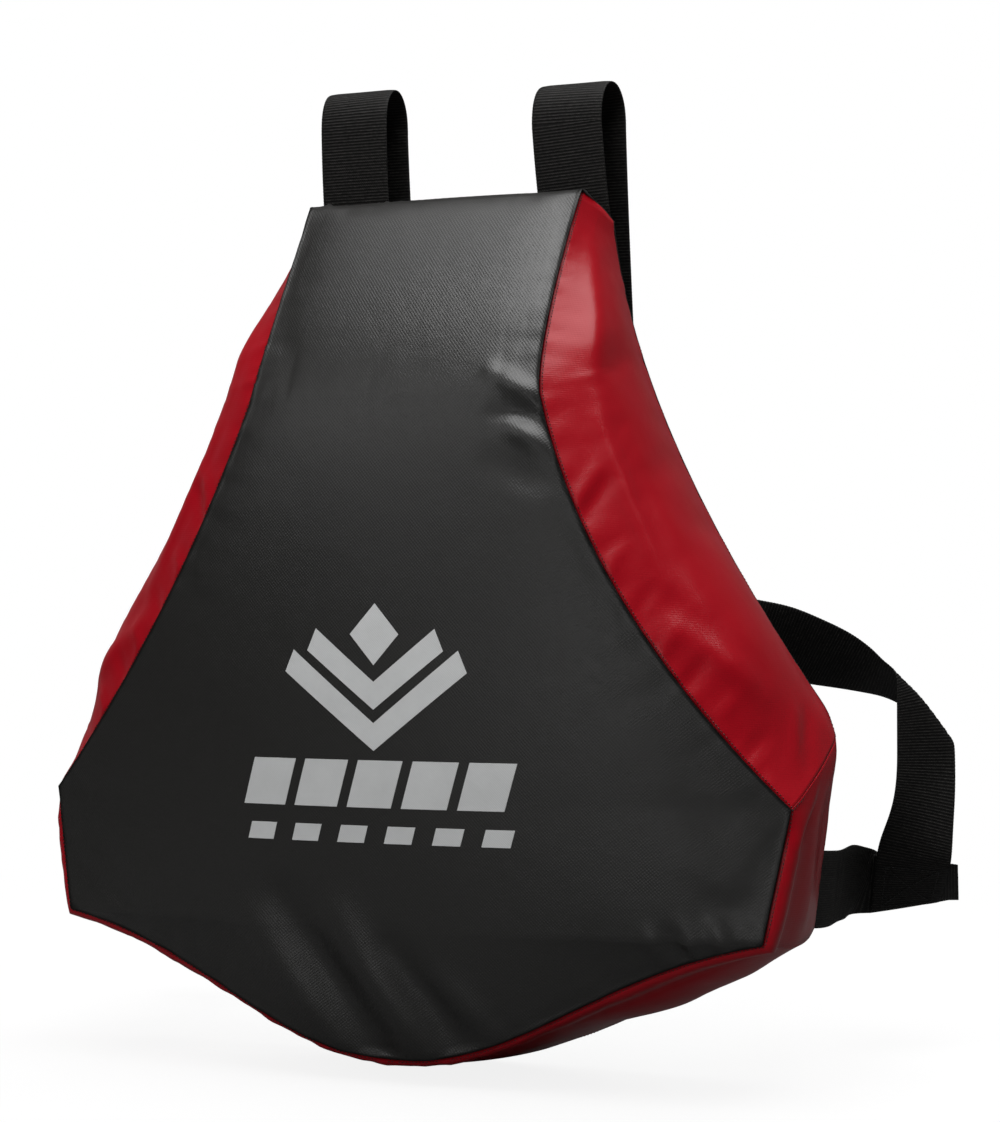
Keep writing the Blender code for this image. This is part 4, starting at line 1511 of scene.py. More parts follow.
@dataclass
class Filling:
    """The two foam blocks inside the cover."""

    shrink: float = 3.5 * MM
    top_drop: float = 7 * MM
    drop_start: float = 0.2
    drop_run: float = 0.06
    rounding: float = 1.5 * MM
    sharp_deg: float = 50

    def build(self) -> list[Piece]:
        """Make both blocks.

        Returns:
            The blocks.
        """
        white, grey = CutFoam("white_foam", (0.62, 0.60, 0.54)), CutFoam("grey_foam", (0.16, 0.16, 0.17))
        blocks = (("strike_foam", white, Slot.STRIKE_FOAM), ("body_foam", grey, Slot.BODY_FOAM))
        return [self._block(*block) for block in blocks]

    def _block(self, node: str, look: CutFoam, slot: Slot) -> Piece:
        """One block: the CAD's own, drawn in under the cover and with its edges rounded.

        Args:
            node: The CAD node.
            look: Its finish.
            slot: The record's slot for it; not used.

        Returns:
            The block.
        """
        obj = placed(f"{node}_block", frame["nodes"][node].data.copy())
        obj.data.materials.clear()
        weld(obj, 0.02 * MM)
        points = point_array(obj) - normal_array(obj) * self.shrink
        points[:, 2] -= self.top_drop * ease((points[:, 2] - self.drop_start) / self.drop_run)
        place_points(obj, points)
        bevel = obj.modifiers.new("rounding", "BEVEL")
        bevel.width, bevel.segments = self.rounding, 2
        bevel.limit_method, bevel.angle_limit = "ANGLE", math.radians(self.sharp_deg)
        apply_modifiers(obj)
        return dress(obj, look.material(), node, Body.PAD)


# The harness


@dataclass
class Webbing:
    """Ribbed webbing, made from rows of points across it."""

    width: float = 50 * MM
    thick: float = 2 * MM
    rib: float = 2.1 * MM
    relief: float = 0.28 * MM
    selvedge: float = 1.2 * MM
    scallop: float = 0.12 * MM
    columns: int = 13

    def edge_places(self) -> Points:
        """Places across the webbing, from edge to edge.

        Returns:
            The places.
        """
        half = self.width / 2
        inner = np.linspace(-half + self.selvedge, half - self.selvedge, self.columns - 2)
        return np.concatenate([[-half], inner, [half]])

    def strip(self, centres: Points, across: Points) -> Points:
        """A strip's surface from its centre line.

        Args:
            centres: The centre line, closely spaced.
            across: The direction across the strip at each point.

        Returns:
            The surface's points, a row per place along the strip.
        """
        along = unit(np.gradient(centres, axis=0))
        side = unit(across - (across * along).sum(1)[:, None] * along)
        return centres[:, None] + side[:, None] * self.edge_places()[None, :, None]

    @staticmethod
    def relaxed(points: Points, middle: int, reach: float, width: int) -> Points:
        """The surface with one stretch of it smoothed along the strip.

        Args:
            points: The surface's points, a row per place along the strip.
            middle: The row in the middle of the stretch.
            reach: How many rows the stretch reaches to each side.
            width: The smoothing's standard deviation, in rows.

        Returns:
            The smoothed surface.
        """
        edge = 3 * width
        kernel = np.exp(-0.5 * (np.arange(-edge, edge + 1) / width) ** 2)
        kernel /= kernel.sum()
        padded = np.concatenate([np.repeat(points[:1], edge, 0), points, np.repeat(points[-1:], edge, 0)])
        smooth = sum(k * padded[i:i + len(points)] for i, k in enumerate(kernel))
        share = 1 - ease(np.abs(np.arange(len(points)) - middle) / reach)
        return points + (smooth - points) * share[:, None, None]

    def solid(self, name: str, points: Points) -> Piece:
        """The webbing's closed mesh from its middle surface.

        Args:
            name: The piece's name.
            points: The middle surface's points, a row per place along the strip.

        Returns:
            The webbing, with its yarn coordinates.
        """
        v = self.edge_places()
        rows, columns = len(points), len(v)
        count = 2 * columns
        normals = unit(np.cross(np.gradient(points, axis=0), np.gradient(points, axis=1)))
        along = lengths(points[:, columns // 2])
        edge = 1 - (np.abs(v) / (self.width / 2)) ** 14
        side = unit(points[:, -1] - points[:, 0])
        wave = 2 * np.pi * along / self.rib
        scallop = ((0.5 + 0.5 * np.cos(wave)) * self.scallop)[:, None]
        layers = []
        for sign, shift in ((1, 0.0), (-1, math.pi)):
            ribs = 0.5 + 0.5 * np.cos(wave + shift)
            half = (self.thick / 2 - self.relief) + self.relief * ribs[:, None]
            layer = points + normals * (sign * half * (0.35 + 0.65 * edge[None]))[..., None]
            layer[:, 0] += side * scallop
            layer[:, -1] -= side * scallop
            layers.append(layer[:, ::sign])
        faces = grid_faces(rows, count, closed=True)
        for start, turn in ((0, -1), ((rows - 1) * count, 1)):
            for c in range(columns - 1):
                cap = (start + c, start + c + 1, start + count - 2 - c, start + count - 1 - c)
                faces.append(cap[::turn])
        obj = mesh_object(name, np.concatenate(layers, axis=1).reshape(-1, 3), faces)
        phase = np.tile(np.repeat([0.0, self.rib / 2], columns), rows)
        places = np.tile(np.concatenate([v, v[::-1]]), rows)
        table = np.stack([places, np.repeat(along, count) + phase], axis=1)
        index = np.zeros(len(obj.data.loops), np.int32)
        obj.data.loops.foreach_get("vertex_index", index)
        layer = obj.data.uv_layers.new(name="strip")
        layer.data.foreach_set("uv", table[index].astype(np.float32).ravel())
        edit(obj, lambda bm: bmesh.ops.recalc_face_normals(bm, faces=bm.faces))
        return obj


@dataclass
class FoldFrame:
    """Where the back belt folds, in millimetres, and which way it runs before and after."""

    place: Triple = (277, 158, -68.5)
    plan_deg: float = 52
    open_deg: float = 70
    radius: float = 3 * MM
    lead: float = 30 * MM

    def __post_init__(self) -> None:
        """Work out the crease's own directions."""
        plan = math.radians(self.plan_deg)
        self.outwards = np.array((math.cos(plan), math.sin(plan), 0))
        facing = np.array((math.sin(plan), -math.cos(plan), 0))
        self.down = np.array((0, 0, -1.0))
        self.turn = math.pi - math.radians(self.open_deg)
        self.crease = unit(self.down + self.outwards)
        after = unit(self.down - self.outwards)
        normal_after = np.cross(after, self.crease)
        for sign in (1, -1):
            bent = normal_after * sign
            self.before = after * math.cos(self.turn) - bent * math.sin(self.turn)
            self.normal = after * math.sin(self.turn) + bent * math.cos(self.turn)
            if (self.crease + self.before) @ facing >= 0:
                break
        self.arc = self.turn * self.radius * math.sqrt(2)
        end = self.surface(np.array([self.arc + self.lead]), np.zeros(1))[0, 0]
        self.middle = end - self.down * self.lead

    def surface(self, u: Points, v: Points) -> Points:
        """The folded strip's surface.

        Args:
            u: The places along the strip.
            v: The places across it.

        Returns:
            The points, a row per place along the strip.
        """
        root = math.sqrt(2)
        along, across = np.meshgrid(u, v, indexing="ij")
        reach = (along + across) / root
        foot = np.array(self.place) * MM + self.crease * ((along - across) / root)[..., None]
        angle = np.clip(reach / self.radius, 0, self.turn)
        rest = reach - self.radius * angle
        sine, cosine = np.sin(angle)[..., None], np.cos(angle)[..., None]
        points = foot + self.before * self.radius * sine + self.normal * self.radius * (1 - cosine)
        return points + (self.before * cosine + self.normal * sine) * rest[..., None]


@dataclass
class Lap:
    """Where the end of the belt is sewn on a side tab, in millimetres, and how it lies there."""

    middle: Triple = (265.2, 172.3, -198.5)
    plan_deg: float = 25
    lean_deg: float = 41
    twist_deg: float = 11
    twist_run: float = 25
    twist_limits: Pair = (-1, 1.3)
    out_fade: Pair = (75, 50)
    ahead_fade: Pair = (80, 55)
    length: float = 42

    def __post_init__(self) -> None:
        """Work out the lap's directions: out along the tab, ahead along the belt and outside."""
        plan, lean = math.radians(self.plan_deg), math.radians(self.lean_deg)
        self.centre = np.array(self.middle) * MM
        self.out = np.array((math.cos(plan), math.sin(plan), 0))
        away, down = np.array((-math.sin(plan), math.cos(plan), 0)), np.array((0, 0, -1.0))
        self.ahead = down * math.cos(lean) + away * math.sin(lean)
        self.outside = down * math.sin(lean) - away * math.cos(lean)

    def twisted(
        self, points: Points, turn: Points | Sequence[float] = (1, 1, 1), deep: float = 1.0,
    ) -> Points:
        """Points near the lap, turned about the tab's line a little more the further out they are.

        Args:
            points: The points, in rows of any shape.
            turn: The signs that mirror the right lap to another side.
            deep: How far in front of or behind the lap a point still counts.

        Returns:
            The turned points.
        """
        from_centre = points * turn - self.centre
        out, ahead, outside = (from_centre @ way for way in (self.out, self.ahead, self.outside))
        near_out = ease((out / MM + self.out_fade[0]) / self.out_fade[1])
        near_ahead = ease((ahead / MM + self.ahead_fade[0]) / self.ahead_fade[1])
        share = np.clip(out / (self.twist_run * MM), *self.twist_limits) * near_out * near_ahead
        outside = np.clip(outside, -deep, deep)
        angle = math.radians(self.twist_deg) * share
        rise = ahead * np.cos(angle) + outside * np.sin(angle) - ahead
        lift = outside * np.cos(angle) - ahead * np.sin(angle) - outside
        return (points * turn + rise[..., None] * self.ahead + lift[..., None] * self.outside) * turn


@dataclass
class Stitching:
    """Rows of short stitches, each a thread whose ends dive into the cloth."""

    length: float
    gap: float
    radius: float
    around: int = 6
    shape: Profile = (
        (0.0, 0.25, -0.9), (0.12, 0.8, -0.2), (0.5, 1.0, 0.25), (0.88, 0.8, -0.2), (1.0, 0.25, -0.9),
    )

    def along_lines(self, name: str, lines: Iterable[Points], out: Points | Sequence[Points]) -> Piece:
        """Stitches along lines.

        Args:
            name: The piece's name.
            lines: The lines, each as rows of points.
            out: The direction out of the cloth: one for all, or for each line a row per point.

        Returns:
            All the stitches as one piece.
        """
        stitches = []
        step = self.length + self.gap
        for i, line in enumerate(lines):
            ways = np.broadcast_to(out if isinstance(out, np.ndarray) else out[i], (len(line), 3))
            even = resampled(np.concatenate([line, ways], axis=1), step)
            for a, b in zip(even, even[1:]):
                end = a[:3] + (b[:3] - a[:3]) * self.length / step
                stitches.append(self._stitch(a[:3], end, unit(a[3:])))
        return mesh_object(name, *joined(stitches))

    def _stitch(self, a: Points, b: Points, out: Points) -> tuple[Points, Faces]:
        """One stitch.

        Args:
            a: Its start.
            b: Its end.
            out: The direction out of the cloth.

        Returns:
            Its points and its faces.
        """
        along = unit(b - a)
        side = unit(np.cross(out, along))
        up = np.cross(along, side)
        count, points = self.around, []
        for place, size, lift in self.shape:
            centre = a + (b - a) * place + up * lift * self.radius
            for k in range(count):
                turn = 2 * math.pi * k / count
                points.append(centre + (side * math.cos(turn) + up * math.sin(turn)) * self.radius * size)
        last = len(points) - count
        ends = [tuple(range(count)), tuple(range(last + count - 1, last - 1, -1))]
        return np.array(points), grid_faces(len(self.shape), count, closed=True) + ends


@dataclass
class Harness:
    """Two shoulder straps, the back belt, the side tabs and the sewn boxes, in millimetres."""

    strap_x: float = 79
    root: Pair = (1.3, 252.6)
    root_rise: float = 0.4
    root_lean: Pair = (0.0, 4.0)
    loop_high: float = 98.4
    loop_arch: float = 29
    loop_y: Pair = (-6, 34)
    loop_extra: Pair = (3.5, -3.0)
    rear_splay: float = 2.5
    strap_drift: float = 0.03
    strap_leave: float = 0.40
    strap_lead: float = 0.25
    strap_below: float = 29
    layer: float = 2.3
    belt_y: float = 73
    belt_z: float = -18
    belt_flat: float = 27
    belt_bow: float = 45
    flat_rise: float = 45
    drop_bow: Pair = (34, 22)
    drop_late: float = 2.3
    relax: tuple[int, int] = (150, 9)
    arch_top: tuple[Pair, ...] = (
        (-230, 0), (-160, 5.5), (-134, 8), (-109, 10.8), (-90, 10.8), (-58, 8.5), (-46, 5.5), (-33, 0.5),
        (-20, -2.5), (0, -1), (20, 0), (30, 0),
    )
    arch_low: tuple[Pair, ...] = (
        (-230, 0), (-160, 3), (-97, 5), (-67, 6), (-41, 9), (-29, 11), (-16, 10.5),
        (0, 6), (15, 1.5), (25, 0), (30, 0),
    )
    tab_root: Triple = (247.6, 0.8, -184.0)
    tab_leave: Triple = (0, 50, -6)
    tab_lead: float = 20
    tab_flat: float = 27
    tab_end: float = 30.5
    tab_slant: float = 9
    tab_deep: float = 7
    box_half: float = 18
    box_lift: float = 1.15
    fold: FoldFrame = field(default_factory=FoldFrame)
    lap: Lap = field(default_factory=Lap)
    webbing: Webbing = field(default_factory=Webbing)

    def build(self) -> list[Piece]:
        """Make the harness's pieces.

        Returns:
            The belt, then each side's strap, tab and sewn boxes.
        """
        look = WovenWebbing().material()
        thread = TwistedThread("black_thread", (0.016, 0.016, 0.016)).material()
        made = [dress(self._belt(), look, "back_belt", Body.HARNESS)]
        for side, where in ((-1, "left"), (1, "right")):
            turn = np.array((side, 1, 1))
            strap = self._strap(f"{where}_shoulder_webbing", side)
            dress(strap, look, f"{where}_shoulder_strap")
            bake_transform(strap)
            tab = self._tab(f"{where}_tab_webbing", turn)
            dress(tab, look, f"{where}_side_tab")
            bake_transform(tab)
            junction = np.array((side * self.strap_x, self.belt_y, self.belt_z)) * MM
            box = self._box(f"{where}_belt_box", junction, np.array((1.0, 0, 0)), np.array((0, 1.0, 0)))
            dress(box, thread, f"{where}_belt_stitch", Body.HARNESS)
            lap = self.lap
            sewn = self._box(f"{where}_tab_box", lap.centre * turn, lap.out * turn, lap.outside * turn)
            place_points(sewn, lap.twisted(point_array(sewn), turn))
            dress(sewn, thread, f"{where}_tab_stitch", Body.HARNESS)
            made += [strap, tab, box, sewn]
        return made

    def _run(
        self, curve: Sequence[Points], count: int,
        before: Sequence[Points] = (), after: Sequence[Points] = (),
    ) -> tuple[Points, Points]:
        """A centre line: a curve with straight runs at its ends.

        Args:
            curve: The curve's control points.
            count: How many points the curve is worked out with.
            before: Points ahead of the curve, if any.
            after: Points behind it, if any.

        Returns:
            The line's points, and how far along the curve each lies, from 0 to 1.
        """
        t = np.linspace(0, 1, count)
        line = np.array([*before, *bezier(curve, t), *after])
        share = np.concatenate([np.zeros(len(before)), t, np.ones(len(after))])
        both = resampled(np.column_stack([line, share]), self.webbing.rib / 4)
        return both[:, :3], both[:, 3]

    def _strap(self, name: str, side: int) -> Piece:
        """A shoulder strap: up from the top seam, over its loop and down to the back belt.

        Args:
            name: The piece's name.
            side: 1 for the right strap, -1 for the left.

        Returns:
            The strap.
        """
        x, which = side * self.strap_x, (side + 1) // 2
        near, far = self.loop_y
        root = np.array((x + side * self.root_lean[which], *self.root))
        shoulder = self.root[1] + self.loop_high - self.loop_arch + self.loop_extra[which]
        front = np.array((x, near, shoulder))
        rise = root + (front - root) * self.root_rise + np.array((0, near / 2, 0))
        turn = np.linspace(math.pi, 0, 60)
        rear = x + side * self.rear_splay
        sway = x + (rear - x) * ease(1 - turn / math.pi)
        flat_top = np.abs(np.sin(turn)) ** 0.8 * np.sign(np.sin(turn))
        middle, half = (near + far) / 2, (far - near) / 2
        arch = [sway, middle + half * np.cos(turn), shoulder + self.loop_arch * flat_top]
        flat_y, flat_z = self.belt_y - self.layer, self.belt_z + self.flat_rise
        run = shoulder - flat_z
        fall = (
            (rear, far, shoulder), (rear, far + self.strap_drift * run, shoulder - run * self.strap_leave),
            (x, flat_y, flat_z + run * self.strap_lead), (x, flat_y, flat_z),
        )
        line = [
            bezier((root, rise, front), np.linspace(0, 1, 24))[:-1], np.stack(arch, 1),
            bezier(fall, np.linspace(0, 1, 60))[1:],
            np.array([(x, flat_y, self.belt_z - self.strap_below)]),
        ]
        centres = resampled(np.concatenate(line) * MM, self.webbing.rib / 4)
        across = np.tile((1.0, 0, 0), (len(centres), 1))
        return self.webbing.solid(name, self.webbing.strip(centres, across))

    def _belt(self) -> Piece:
        """The whole back belt: level behind the wearer, folded at each end and hanging to its side tabs.

        Returns:
            The belt.
        """
        fold, web, lap = self.fold, self.webbing, self.lap
        v, step = web.edge_places(), web.rib / 4
        entry = fold.surface(np.array([-fold.lead]), v[[0, -1]])[0]
        start, across_end = entry.mean(0), unit(entry[1] - entry[0])
        flat = np.array((self.strap_x + self.belt_flat, self.belt_y, self.belt_z)) * MM
        bow = self.belt_bow * MM
        curve = (flat, flat + np.array((bow, 0, 0)), start - unit(fold.crease + fold.before) * bow, start)
        line, share = self._run(curve, 80, before=[flat * (0, 1, 1)])
        share = ease(share[:-1])[:, None]
        level = web.strip(line[:-1], np.array((0, 0, 1.0)) * (1 - share) + across_end * share)
        folded = fold.surface(np.arange(-fold.lead, fold.arc + fold.lead, step), v)
        begin, half = fold.middle + fold.down * (fold.lead + step), lap.ahead * lap.length / 2 * MM
        down, ahead = fold.down * self.drop_bow[0] * MM, lap.ahead * self.drop_bow[1] * MM
        last = lap.centre - half
        line, share = self._run((begin, begin + down, last - ahead, last), 60, after=[lap.centre + half])
        share = (ease(share) ** self.drop_late)[:, None]
        hanging = web.strip(line, -fold.outwards * (1 - share) - lap.out * share)
        points = np.concatenate([level, folded, hanging])
        middle = len(level) + int((fold.lead + fold.arc / 2) / step)
        points[:, :, 2] += self._arch((np.arange(len(points)) - middle) * step / MM)
        points = lap.twisted(web.relaxed(points, middle, *self.relax))
        return web.solid("back_belt_webbing", np.concatenate([(points[1:] * MIRROR)[::-1], points]))

    def _arch(self, place: Points) -> Points:
        """How far the belt arches up near its fold.

        Args:
            place: The places along the belt, in millimetres from the middle of the fold.

        Returns:
            The lift in metres, a row per place, from the lower edge to the upper one.
        """
        curves = (np.array(keys, float) for keys in (self.arch_low, self.arch_top))
        low, top = (through(keys, np.clip(place, keys[0, 0], keys[-1, 0])) for keys in curves)
        share = (self.webbing.edge_places() / self.webbing.width + 0.5)[None]
        return (low * (1 - share) + top * share) * MM

    def _tab(self, name: str, turn: Points) -> Piece:
        """A side tab, from the pad's back seam to the slanted end that is sewn under the belt.

        Args:
            name: The piece's name.
            turn: The signs that mirror the right tab to its side.

        Returns:
            The tab.
        """
        lap, web = self.lap, self.webbing
        middle = lap.centre - lap.outside * self.layer * MM
        under = middle - lap.out * self.tab_flat * MM
        root = np.array(self.tab_root) * MM
        curve = (root, root + np.array(self.tab_leave) * MM, under - lap.out * self.tab_lead * MM, under)
        line, share = self._run(curve, 80, after=[middle + lap.out * self.tab_end * MM])
        across = np.array((0, 0, 1.0)) * (1 - share[:, None]) - lap.ahead * share[:, None]
        points = web.strip(line * turn, across * turn)
        reach = np.linspace(0, 1, int((share > 0.999).sum()))
        low = 0.5 - web.edge_places() / web.width
        slant = reach[:, None] * low[None] * self.tab_slant * MM
        points[-len(reach):] += slant[..., None] * (lap.out * turn)
        return web.solid(name, lap.twisted(points, turn, self.tab_deep * MM))

    def _box(self, name: str, centre: Points, along: Points, normal: Points) -> Piece:
        """A sewn box with a cross in it, as rows of stitches on the webbing.

        Args:
            name: The piece's name.
            centre: Its middle, in the middle of the webbing.
            along: The direction along the webbing.
            normal: The direction out of the webbing.

        Returns:
            The stitches.
        """
        across = np.cross(normal, along)
        half = self.box_half * MM
        base = centre + normal * self.box_lift * MM
        signs = ((-1, -1), (1, -1), (1, 1), (-1, 1))
        corners = [base + along * a * half + across * b * half for a, b in signs]
        ends = ((0, 1), (1, 2), (2, 3), (3, 0), (0, 2), (1, 3))
        lines = [np.stack([corners[a], corners[b]]) for a, b in ends]
        return Stitching(length=2.5 * MM, gap=0.7 * MM, radius=0.33 * MM).along_lines(name, lines, normal)


@dataclass
class SeamThread:
    """The visible stitches on the cover's seams."""

    form: PadForm
    set_back: float = 1.9 * MM
    above: float = 0.12 * MM

    def build(self) -> list[Piece]:
        """Make the stitches of the front seams, of the back seam and of the short wing seams.

        Returns:
            The three pieces.
        """
        look = TwistedThread("black_thread_on_seams", (0.012, 0.012, 0.012)).material()
        seam = self.form.gusset(np.linspace(0.02, 23.98, 900), np.array([0.0, 0.03, 0.97, 1.0]))
        wing = self.form.gusset(np.array([13.0, 13.06]), np.linspace(0.03, 0.97, 60))
        rows = (
            ("front_seam_stitches", seam[:, 0], seam[:, 1]), ("back_seam_stitches", seam[:, 3], seam[:, 2]),
            ("wing_seam_stitches", wing[0], wing[1]),
        )
        made = []
        for name, edge, inside in rows:
            line = edge + unit(inside - edge) * self.set_back
            sewn = self._on_cover(name, [line * MIRROR, line])
            made.append(dress(sewn, look, body=Body.PAD))
        return made

    def _on_cover(self, name: str, lines: Sequence[Points]) -> Piece:
        """Lay lines on the red cover and sew them there.

        Args:
            name: The piece's name.
            lines: The lines, near the cover.

        Returns:
            The stitches.
        """
        skins = [o for o in bpy.data.objects if o.name.endswith("gusset_skin")]
        trees = [BVHTree.FromObject(o, bpy.context.evaluated_depsgraph_get()) for o in skins]
        laid, ways = [], []
        for line in lines:
            points, outs = [], []
            for p in line:
                hits = [tree.find_nearest(Vector(p)) for tree in trees]
                place, normal, _, _ = min(hits, key=lambda hit: hit[3])
                if normal.dot(Vector((p[0], min(p[1], 0), p[2]))) < 0:
                    normal = -normal
                points.append(place + normal * self.above)
                outs.append(normal)
            laid.append(np.array(points))
            ways.append(np.array(outs))
        return Stitching(length=1.7 * MM, gap=0.8 * MM, radius=0.28 * MM).along_lines(name, laid, ways)


@dataclass
class FrontPrint:
    """A plain geometric print on the front panel: chevrons, a diamond, slanted blocks and dashes.

    The shapes are in millimetres. A row of blocks is (middle, height, count, width, gap).
    """

    chevrons: tuple[Pair, ...] = ((-94.0, 63.5), (-68.0, 47.5))
    stroke: float = 14.0
    slope: float = 0.78
    notch: float = 6
    peak: float = 1.25
    diamond: tuple[Pair, ...] = ((0, -40), (17, -20.5), (0, -1), (-17, -20.5))
    block_rows: tuple[tuple[float, float, int, float, float], ...] = (
        (-115, 30, 5, 31, 7), (-147, 11, 6, 19, 14),
    )
    slant: float = 0.3
    cell: float = 4 * MM
    ray_start: float = -0.4
    sharp_deg: float = 40
    lift: float = 0.18 * MM
    thick: float = 0.12 * MM

    def shapes(self) -> list[Sequence[Pair]]:
        """The outlines of the print's shapes.

        Returns:
            Each outline as (x, z) in millimetres.
        """
        found = []
        for tip, half in self.chevrons:
            end, inner = tip + self.slope * half, half - self.notch
            top = end + self.stroke
            peak = tip + self.stroke * self.peak
            found.append([(0, tip), (half, end), (inner, top), (0, peak), (-inner, top), (-half, end)])
        found.append(self.diamond)
        for middle, high, count, wide, gap in self.block_rows:
            lean, low, top = self.slant * high / 2, middle - high / 2, middle + high / 2
            first = -(count * wide + (count - 1) * gap) / 2
            for left in (first + k * (wide + gap) for k in range(count)):
                right = left + wide
                base = [(left - lean, low), (right - lean, low)]
                found.append([*base, (right + lean, top), (left + lean, top)])
        return found

    def build(self, panel: Piece) -> Piece:
        """Lay the print on the front panel.

        Args:
            panel: The front panel.

        Returns:
            The print.
        """
        shapes = [np.array(shape) * MM for shape in self.shapes()]
        parts = [flat_plate("front_print_part", shape, (), self.cell) for shape in shapes]
        pieces = ((point_array(part), [p.vertices for p in part.data.polygons]) for part in parts)
        laid, faces = joined(pieces)
        for part in parts:
            bpy.data.objects.remove(part)
        tree = BVHTree.FromObject(panel, bpy.context.evaluated_depsgraph_get())
        ahead = Vector((0, 1, 0))
        for i, (x, _, z) in enumerate(laid):
            laid[i] = tree.ray_cast(Vector((x, self.ray_start, z)), ahead)[0] - ahead * self.lift
        obj = mesh_object("front_print", laid, [f[::-1] for f in faces])
        weld(obj)
        thicken(obj, self.thick)
        obj.data.set_sharp_from_angle(angle=math.radians(self.sharp_deg))
        return dress(obj, ScreenPrint().material(), body=Body.PAD)


@dataclass
class Zip:
    """The zip across the lower back: woven tapes, and finishes for its hard parts."""

    z: float = -165 * MM
    half: float = 153 * MM
    part: float = 0.4 * MM
    wide: float = 14 * MM
    face: float = -1.5 * MM
    thick: float = 0.6 * MM
    hem: float = 10.5 * MM
    above: float = 0.1 * MM
    wave: float = 0.10 * MM
    radians_per_m: Pair = (190, 300)
    cells: tuple[int, int] = (130, 12)

    def build(self) -> list[Piece]:
        """Make the tapes and their stitches, and dress the carried-over parts.

        Returns:
            The tapes and the stitches.
        """
        cloth = ZipPlastic("woven_zip_tape", roughness=0.75, weave=0.9 * MM).material()
        made = []
        for side, where in ((1, "upper"), (-1, "lower")):
            tape = self._tape(f"zip_tape_{where}_woven", side)
            made.append(dress(tape, cloth, f"zip_tape_{where}", Body.PAD))
        hard, metal = ZipPlastic("moulded_zip_plastic").material(), PlatedSteel().material()
        for node in ("zip_teeth_upper", "zip_teeth_lower", "zip_stop_left", "zip_stop_right"):
            self._finish(node, hard)
        for node in ("zip_slider", "zip_pull"):
            self._finish(node, metal)
        x, low, high = self.half, self.z - self.hem, self.z + self.hem
        sides = [((-x, low), (-x, high)), ((x, low), (x, high))]
        ends = [((-x, low), (x, low)), ((-x, high), (x, high)), *sides]
        lines = [np.array([(u, self.above, w) for u, w in pair]) for pair in ends]
        rows = Stitching(length=2.4 * MM, gap=0.9 * MM, radius=0.3 * MM)
        sewn = rows.along_lines("zip_stitches", lines, np.array((0, 1.0, 0)))
        thread = TwistedThread("black_zip_thread", (0.012, 0.012, 0.012)).material()
        return [*made, dress(sewn, thread, body=Body.PAD)]

    @staticmethod
    def _finish(node: str, look: bpy.types.Material) -> None:
        """Give a carried-over part its finish.

        Args:
            node: The part's node.
            look: The finish.
        """
        obj = frame["nodes"][node]
        if obj.material_slots:
            for slot in obj.material_slots:
                slot.material = look
        else:
            obj.data.materials.append(look)

    def _tape(self, name: str, side: int) -> Piece:
        """A woven tape with soft waves.

        Args:
            name: The piece's name.
            side: 1 for the upper tape, -1 for the lower.

        Returns:
            The tape.
        """
        x = np.linspace(-self.half, self.half, self.cells[0])[:, None]
        z = np.linspace(self.part, self.part + self.wide, self.cells[1])[None]
        along, across = self.radians_per_m
        wave = self.wave * np.sin(x * along + side) * np.sin(z * across) - self.wave / 2
        out, up = self.face + np.minimum(wave, 0), self.z + side * z + 0 * wave
        grid = np.stack([x + 0 * wave, out, up], axis=2)
        faces = grid_faces(*wave.shape)
        obj = mesh_object(name, grid.reshape(-1, 3), faces if side < 0 else [f[::-1] for f in faces])
        thicken(obj, self.thick)
        return obj


# The studio


@dataclass(frozen=True)
class SoftBox:
    """One soft lamp that looks at a point."""

    name: str
    place: Triple
    target: Triple
    size: Pair
    power: float
    shine: bool = True

    def build(self) -> None:
        """Add the lamp to the scene."""
        data = bpy.data.lights.new(self.name, "AREA")
        data.shape = "RECTANGLE"
        data.size, data.size_y = self.size
        data.energy = self.power
        lamp = placed(self.name, data)
        lamp.location = self.place
        lamp.visible_glossy = self.shine
        lamp.rotation_mode = "QUATERNION"
        lamp.rotation_quaternion = (Vector(self.target) - Vector(self.place)).to_track_quat("-Z", "Y")


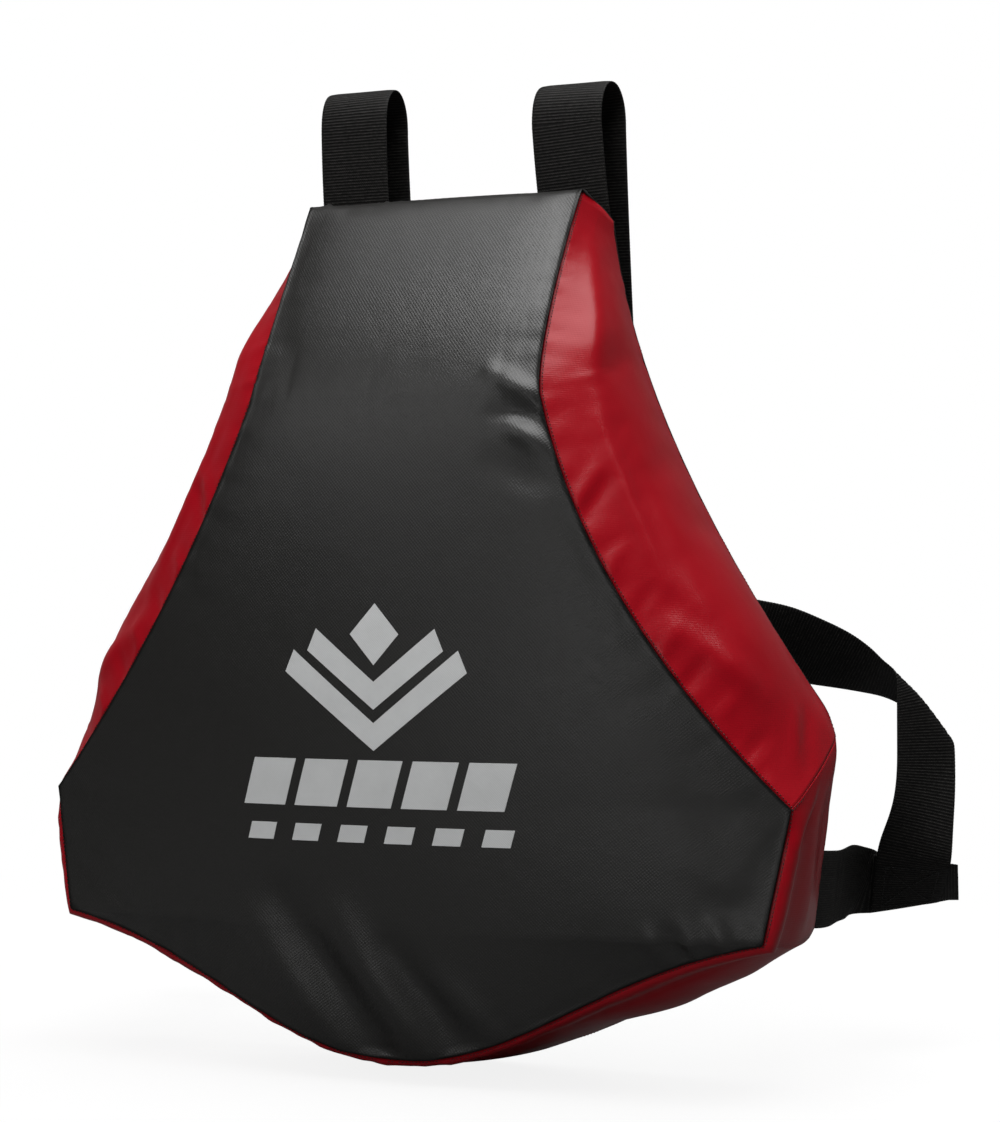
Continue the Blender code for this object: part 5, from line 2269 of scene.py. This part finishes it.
@dataclass
class Studio:
    """Floor, backdrop, lamps and camera; the camera's pixels are the photograph's."""

    azimuth_deg: float = 24.0
    distance: float = 1.756
    focal_px: float = 2586.0
    axis_px: Pair = (461.8, 601.7)
    image_px: tuple[int, int] = (1000, 1122)
    sensor_mm: float = 36.0
    clip: Pair = (0.05, 50.0)
    floor_z: float = -0.3085
    floor_grey: Pair = (0.12, 0.95)
    floor_roughness: float = 0.9
    floor_far: float = 14.0
    floor_fade: tuple[Pair, Pair] = ((0.45, 1.3), (0.86, 1.0))
    backdrop_way: Triple = (0.25, 0.97, 0.1)
    backdrop_edge: Pair = (-0.15, 0.55)
    backdrop_light: Pair = (0.06, 0.10)
    lamps: tuple[SoftBox, ...] = (
        SoftBox("overhead", (0.38, -0.35, 2.0), (0.1, -0.08, 0.1), (2.3, 1.8), 54),
        SoftBox("front_right", (0.0, -1.9, 1.9), (0, 0, 0), (2.0, 2.0), 9, shine=False),
        SoftBox("front_left_high", (-1.5, -2.6, 1.7), (0, 0, -0.1), (1.1, 1.1), 7.5),
        SoftBox("front_low", (0.15, -2.6, 0.05), (0, 0, -0.1), (0.9, 0.9), 3.2),
        SoftBox("left_rear", (-2.4, 1.2, 0.6), (0, 0, 0), (1.6, 1.6), 34, shine=False),
        SoftBox("front_fill", (0.0, -2.6, 0.6), (0, 0, 0), (1.4, 1.4), 13, shine=False),
        SoftBox("rear_fill", (0.0, 2.4, 1.4), (0, 0, 0), (2.0, 1.6), 30, shine=False),
    )

    def build(self) -> None:
        """Make the studio."""
        self._world()
        self._floor()
        for lamp in self.lamps:
            lamp.build()
        self._camera()
        bpy.context.scene.view_settings.view_transform = "Standard"

    def _camera(self) -> None:
        """The camera at the photograph's viewing angle."""
        data = bpy.data.cameras.new("camera")
        data.sensor_width = self.sensor_mm
        data.lens = self.focal_px / max(self.image_px) * data.sensor_width
        data.clip_start, data.clip_end = self.clip
        camera = placed("camera", data)
        turn = math.radians(self.azimuth_deg)
        ahead = Vector((-math.sin(turn), math.cos(turn), 0))
        right = Vector((math.cos(turn), math.sin(turn), 0))
        camera.location = -ahead * self.distance
        shift_x = self.image_px[0] / 2 - self.axis_px[0]
        shift_y = self.axis_px[1] - self.image_px[1] / 2
        aim = ahead * self.focal_px + right * shift_x + Vector((0, 0, 1)) * shift_y
        camera.rotation_mode = "QUATERNION"
        camera.rotation_quaternion = aim.to_track_quat("-Z", "Y")
        bpy.context.scene.camera = camera

    def _world(self) -> None:
        """White to the camera; for the light, a pale backdrop behind and a dim room in front."""
        world = bpy.data.worlds.new("studio")
        bpy.context.scene.world = world
        world.use_nodes = True
        world.node_tree.nodes.clear()
        kit = NodeKit(world.node_tree)
        where = kit.add("ShaderNodeTexCoord").outputs["Generated"]
        light = kit.eased(kit.along(where, self.backdrop_way), self.backdrop_edge, self.backdrop_light)
        around = kit.add("ShaderNodeBackground", {"Color": WHITE, "Strength": light})
        seen = kit.add("ShaderNodeBackground", {"Color": WHITE})
        by_camera = kit.add("ShaderNodeLightPath").outputs["Is Camera Ray"]
        kit.add("ShaderNodeOutputWorld", {0: kit.blend(by_camera, around, seen)})

    def _floor(self) -> None:
        """A plain pale floor that keeps the object's shadow and fades into the backdrop."""
        far, z = self.floor_far, self.floor_z
        corners = [(-far, -far, z), (far, -far, z), (far, far, z), (-far, far, z)]
        floor = mesh_object("floor", np.array(corners), [(0, 1, 2, 3)])
        material = bpy.data.materials.new("pale_floor")
        material.use_nodes = True
        kit, shader = NodeKit(material.node_tree), material.node_tree.nodes["Principled BSDF"]
        by_camera = kit.add("ShaderNodeLightPath").outputs["Is Camera Ray"]
        lighting, seen = ((grey, grey, grey) for grey in self.floor_grey)
        kit.feed(shader.inputs["Base Color"], kit.mix(by_camera, lighting, seen))
        kit.feed(shader.inputs["Roughness"], self.floor_roughness)
        glow = kit.add("ShaderNodeEmission", {"Color": WHITE, "Strength": 1.0})
        place = kit.add("ShaderNodeNewGeometry").outputs["Position"]
        away = kit.add("ShaderNodeVectorMath", {0: place}, operation="LENGTH").outputs["Value"]
        share = kit.math("MULTIPLY", by_camera, kit.eased(away, *self.floor_fade))
        kit.feed(material.node_tree.nodes["Material Output"].inputs[0], kit.blend(share, shader, glow))
        floor.data.materials.append(material)


def main() -> None:
    """Build the dressed object and its studio, piece by piece."""
    logging.basicConfig(level=logging.INFO, format="%(name)s: %(message)s")
    cover = Cover()
    panels = cover.build()
    pieces = [*panels, *Filling().build(), *SeamThread(cover.form).build(), FrontPrint().build(panels[0])]
    pieces += Zip().build() + Harness().build()
    for piece in pieces:
        LOG.info("%s: %d points", piece.name, len(piece.data.vertices))
    Studio().build()


if __name__ == "__main__":
    main()
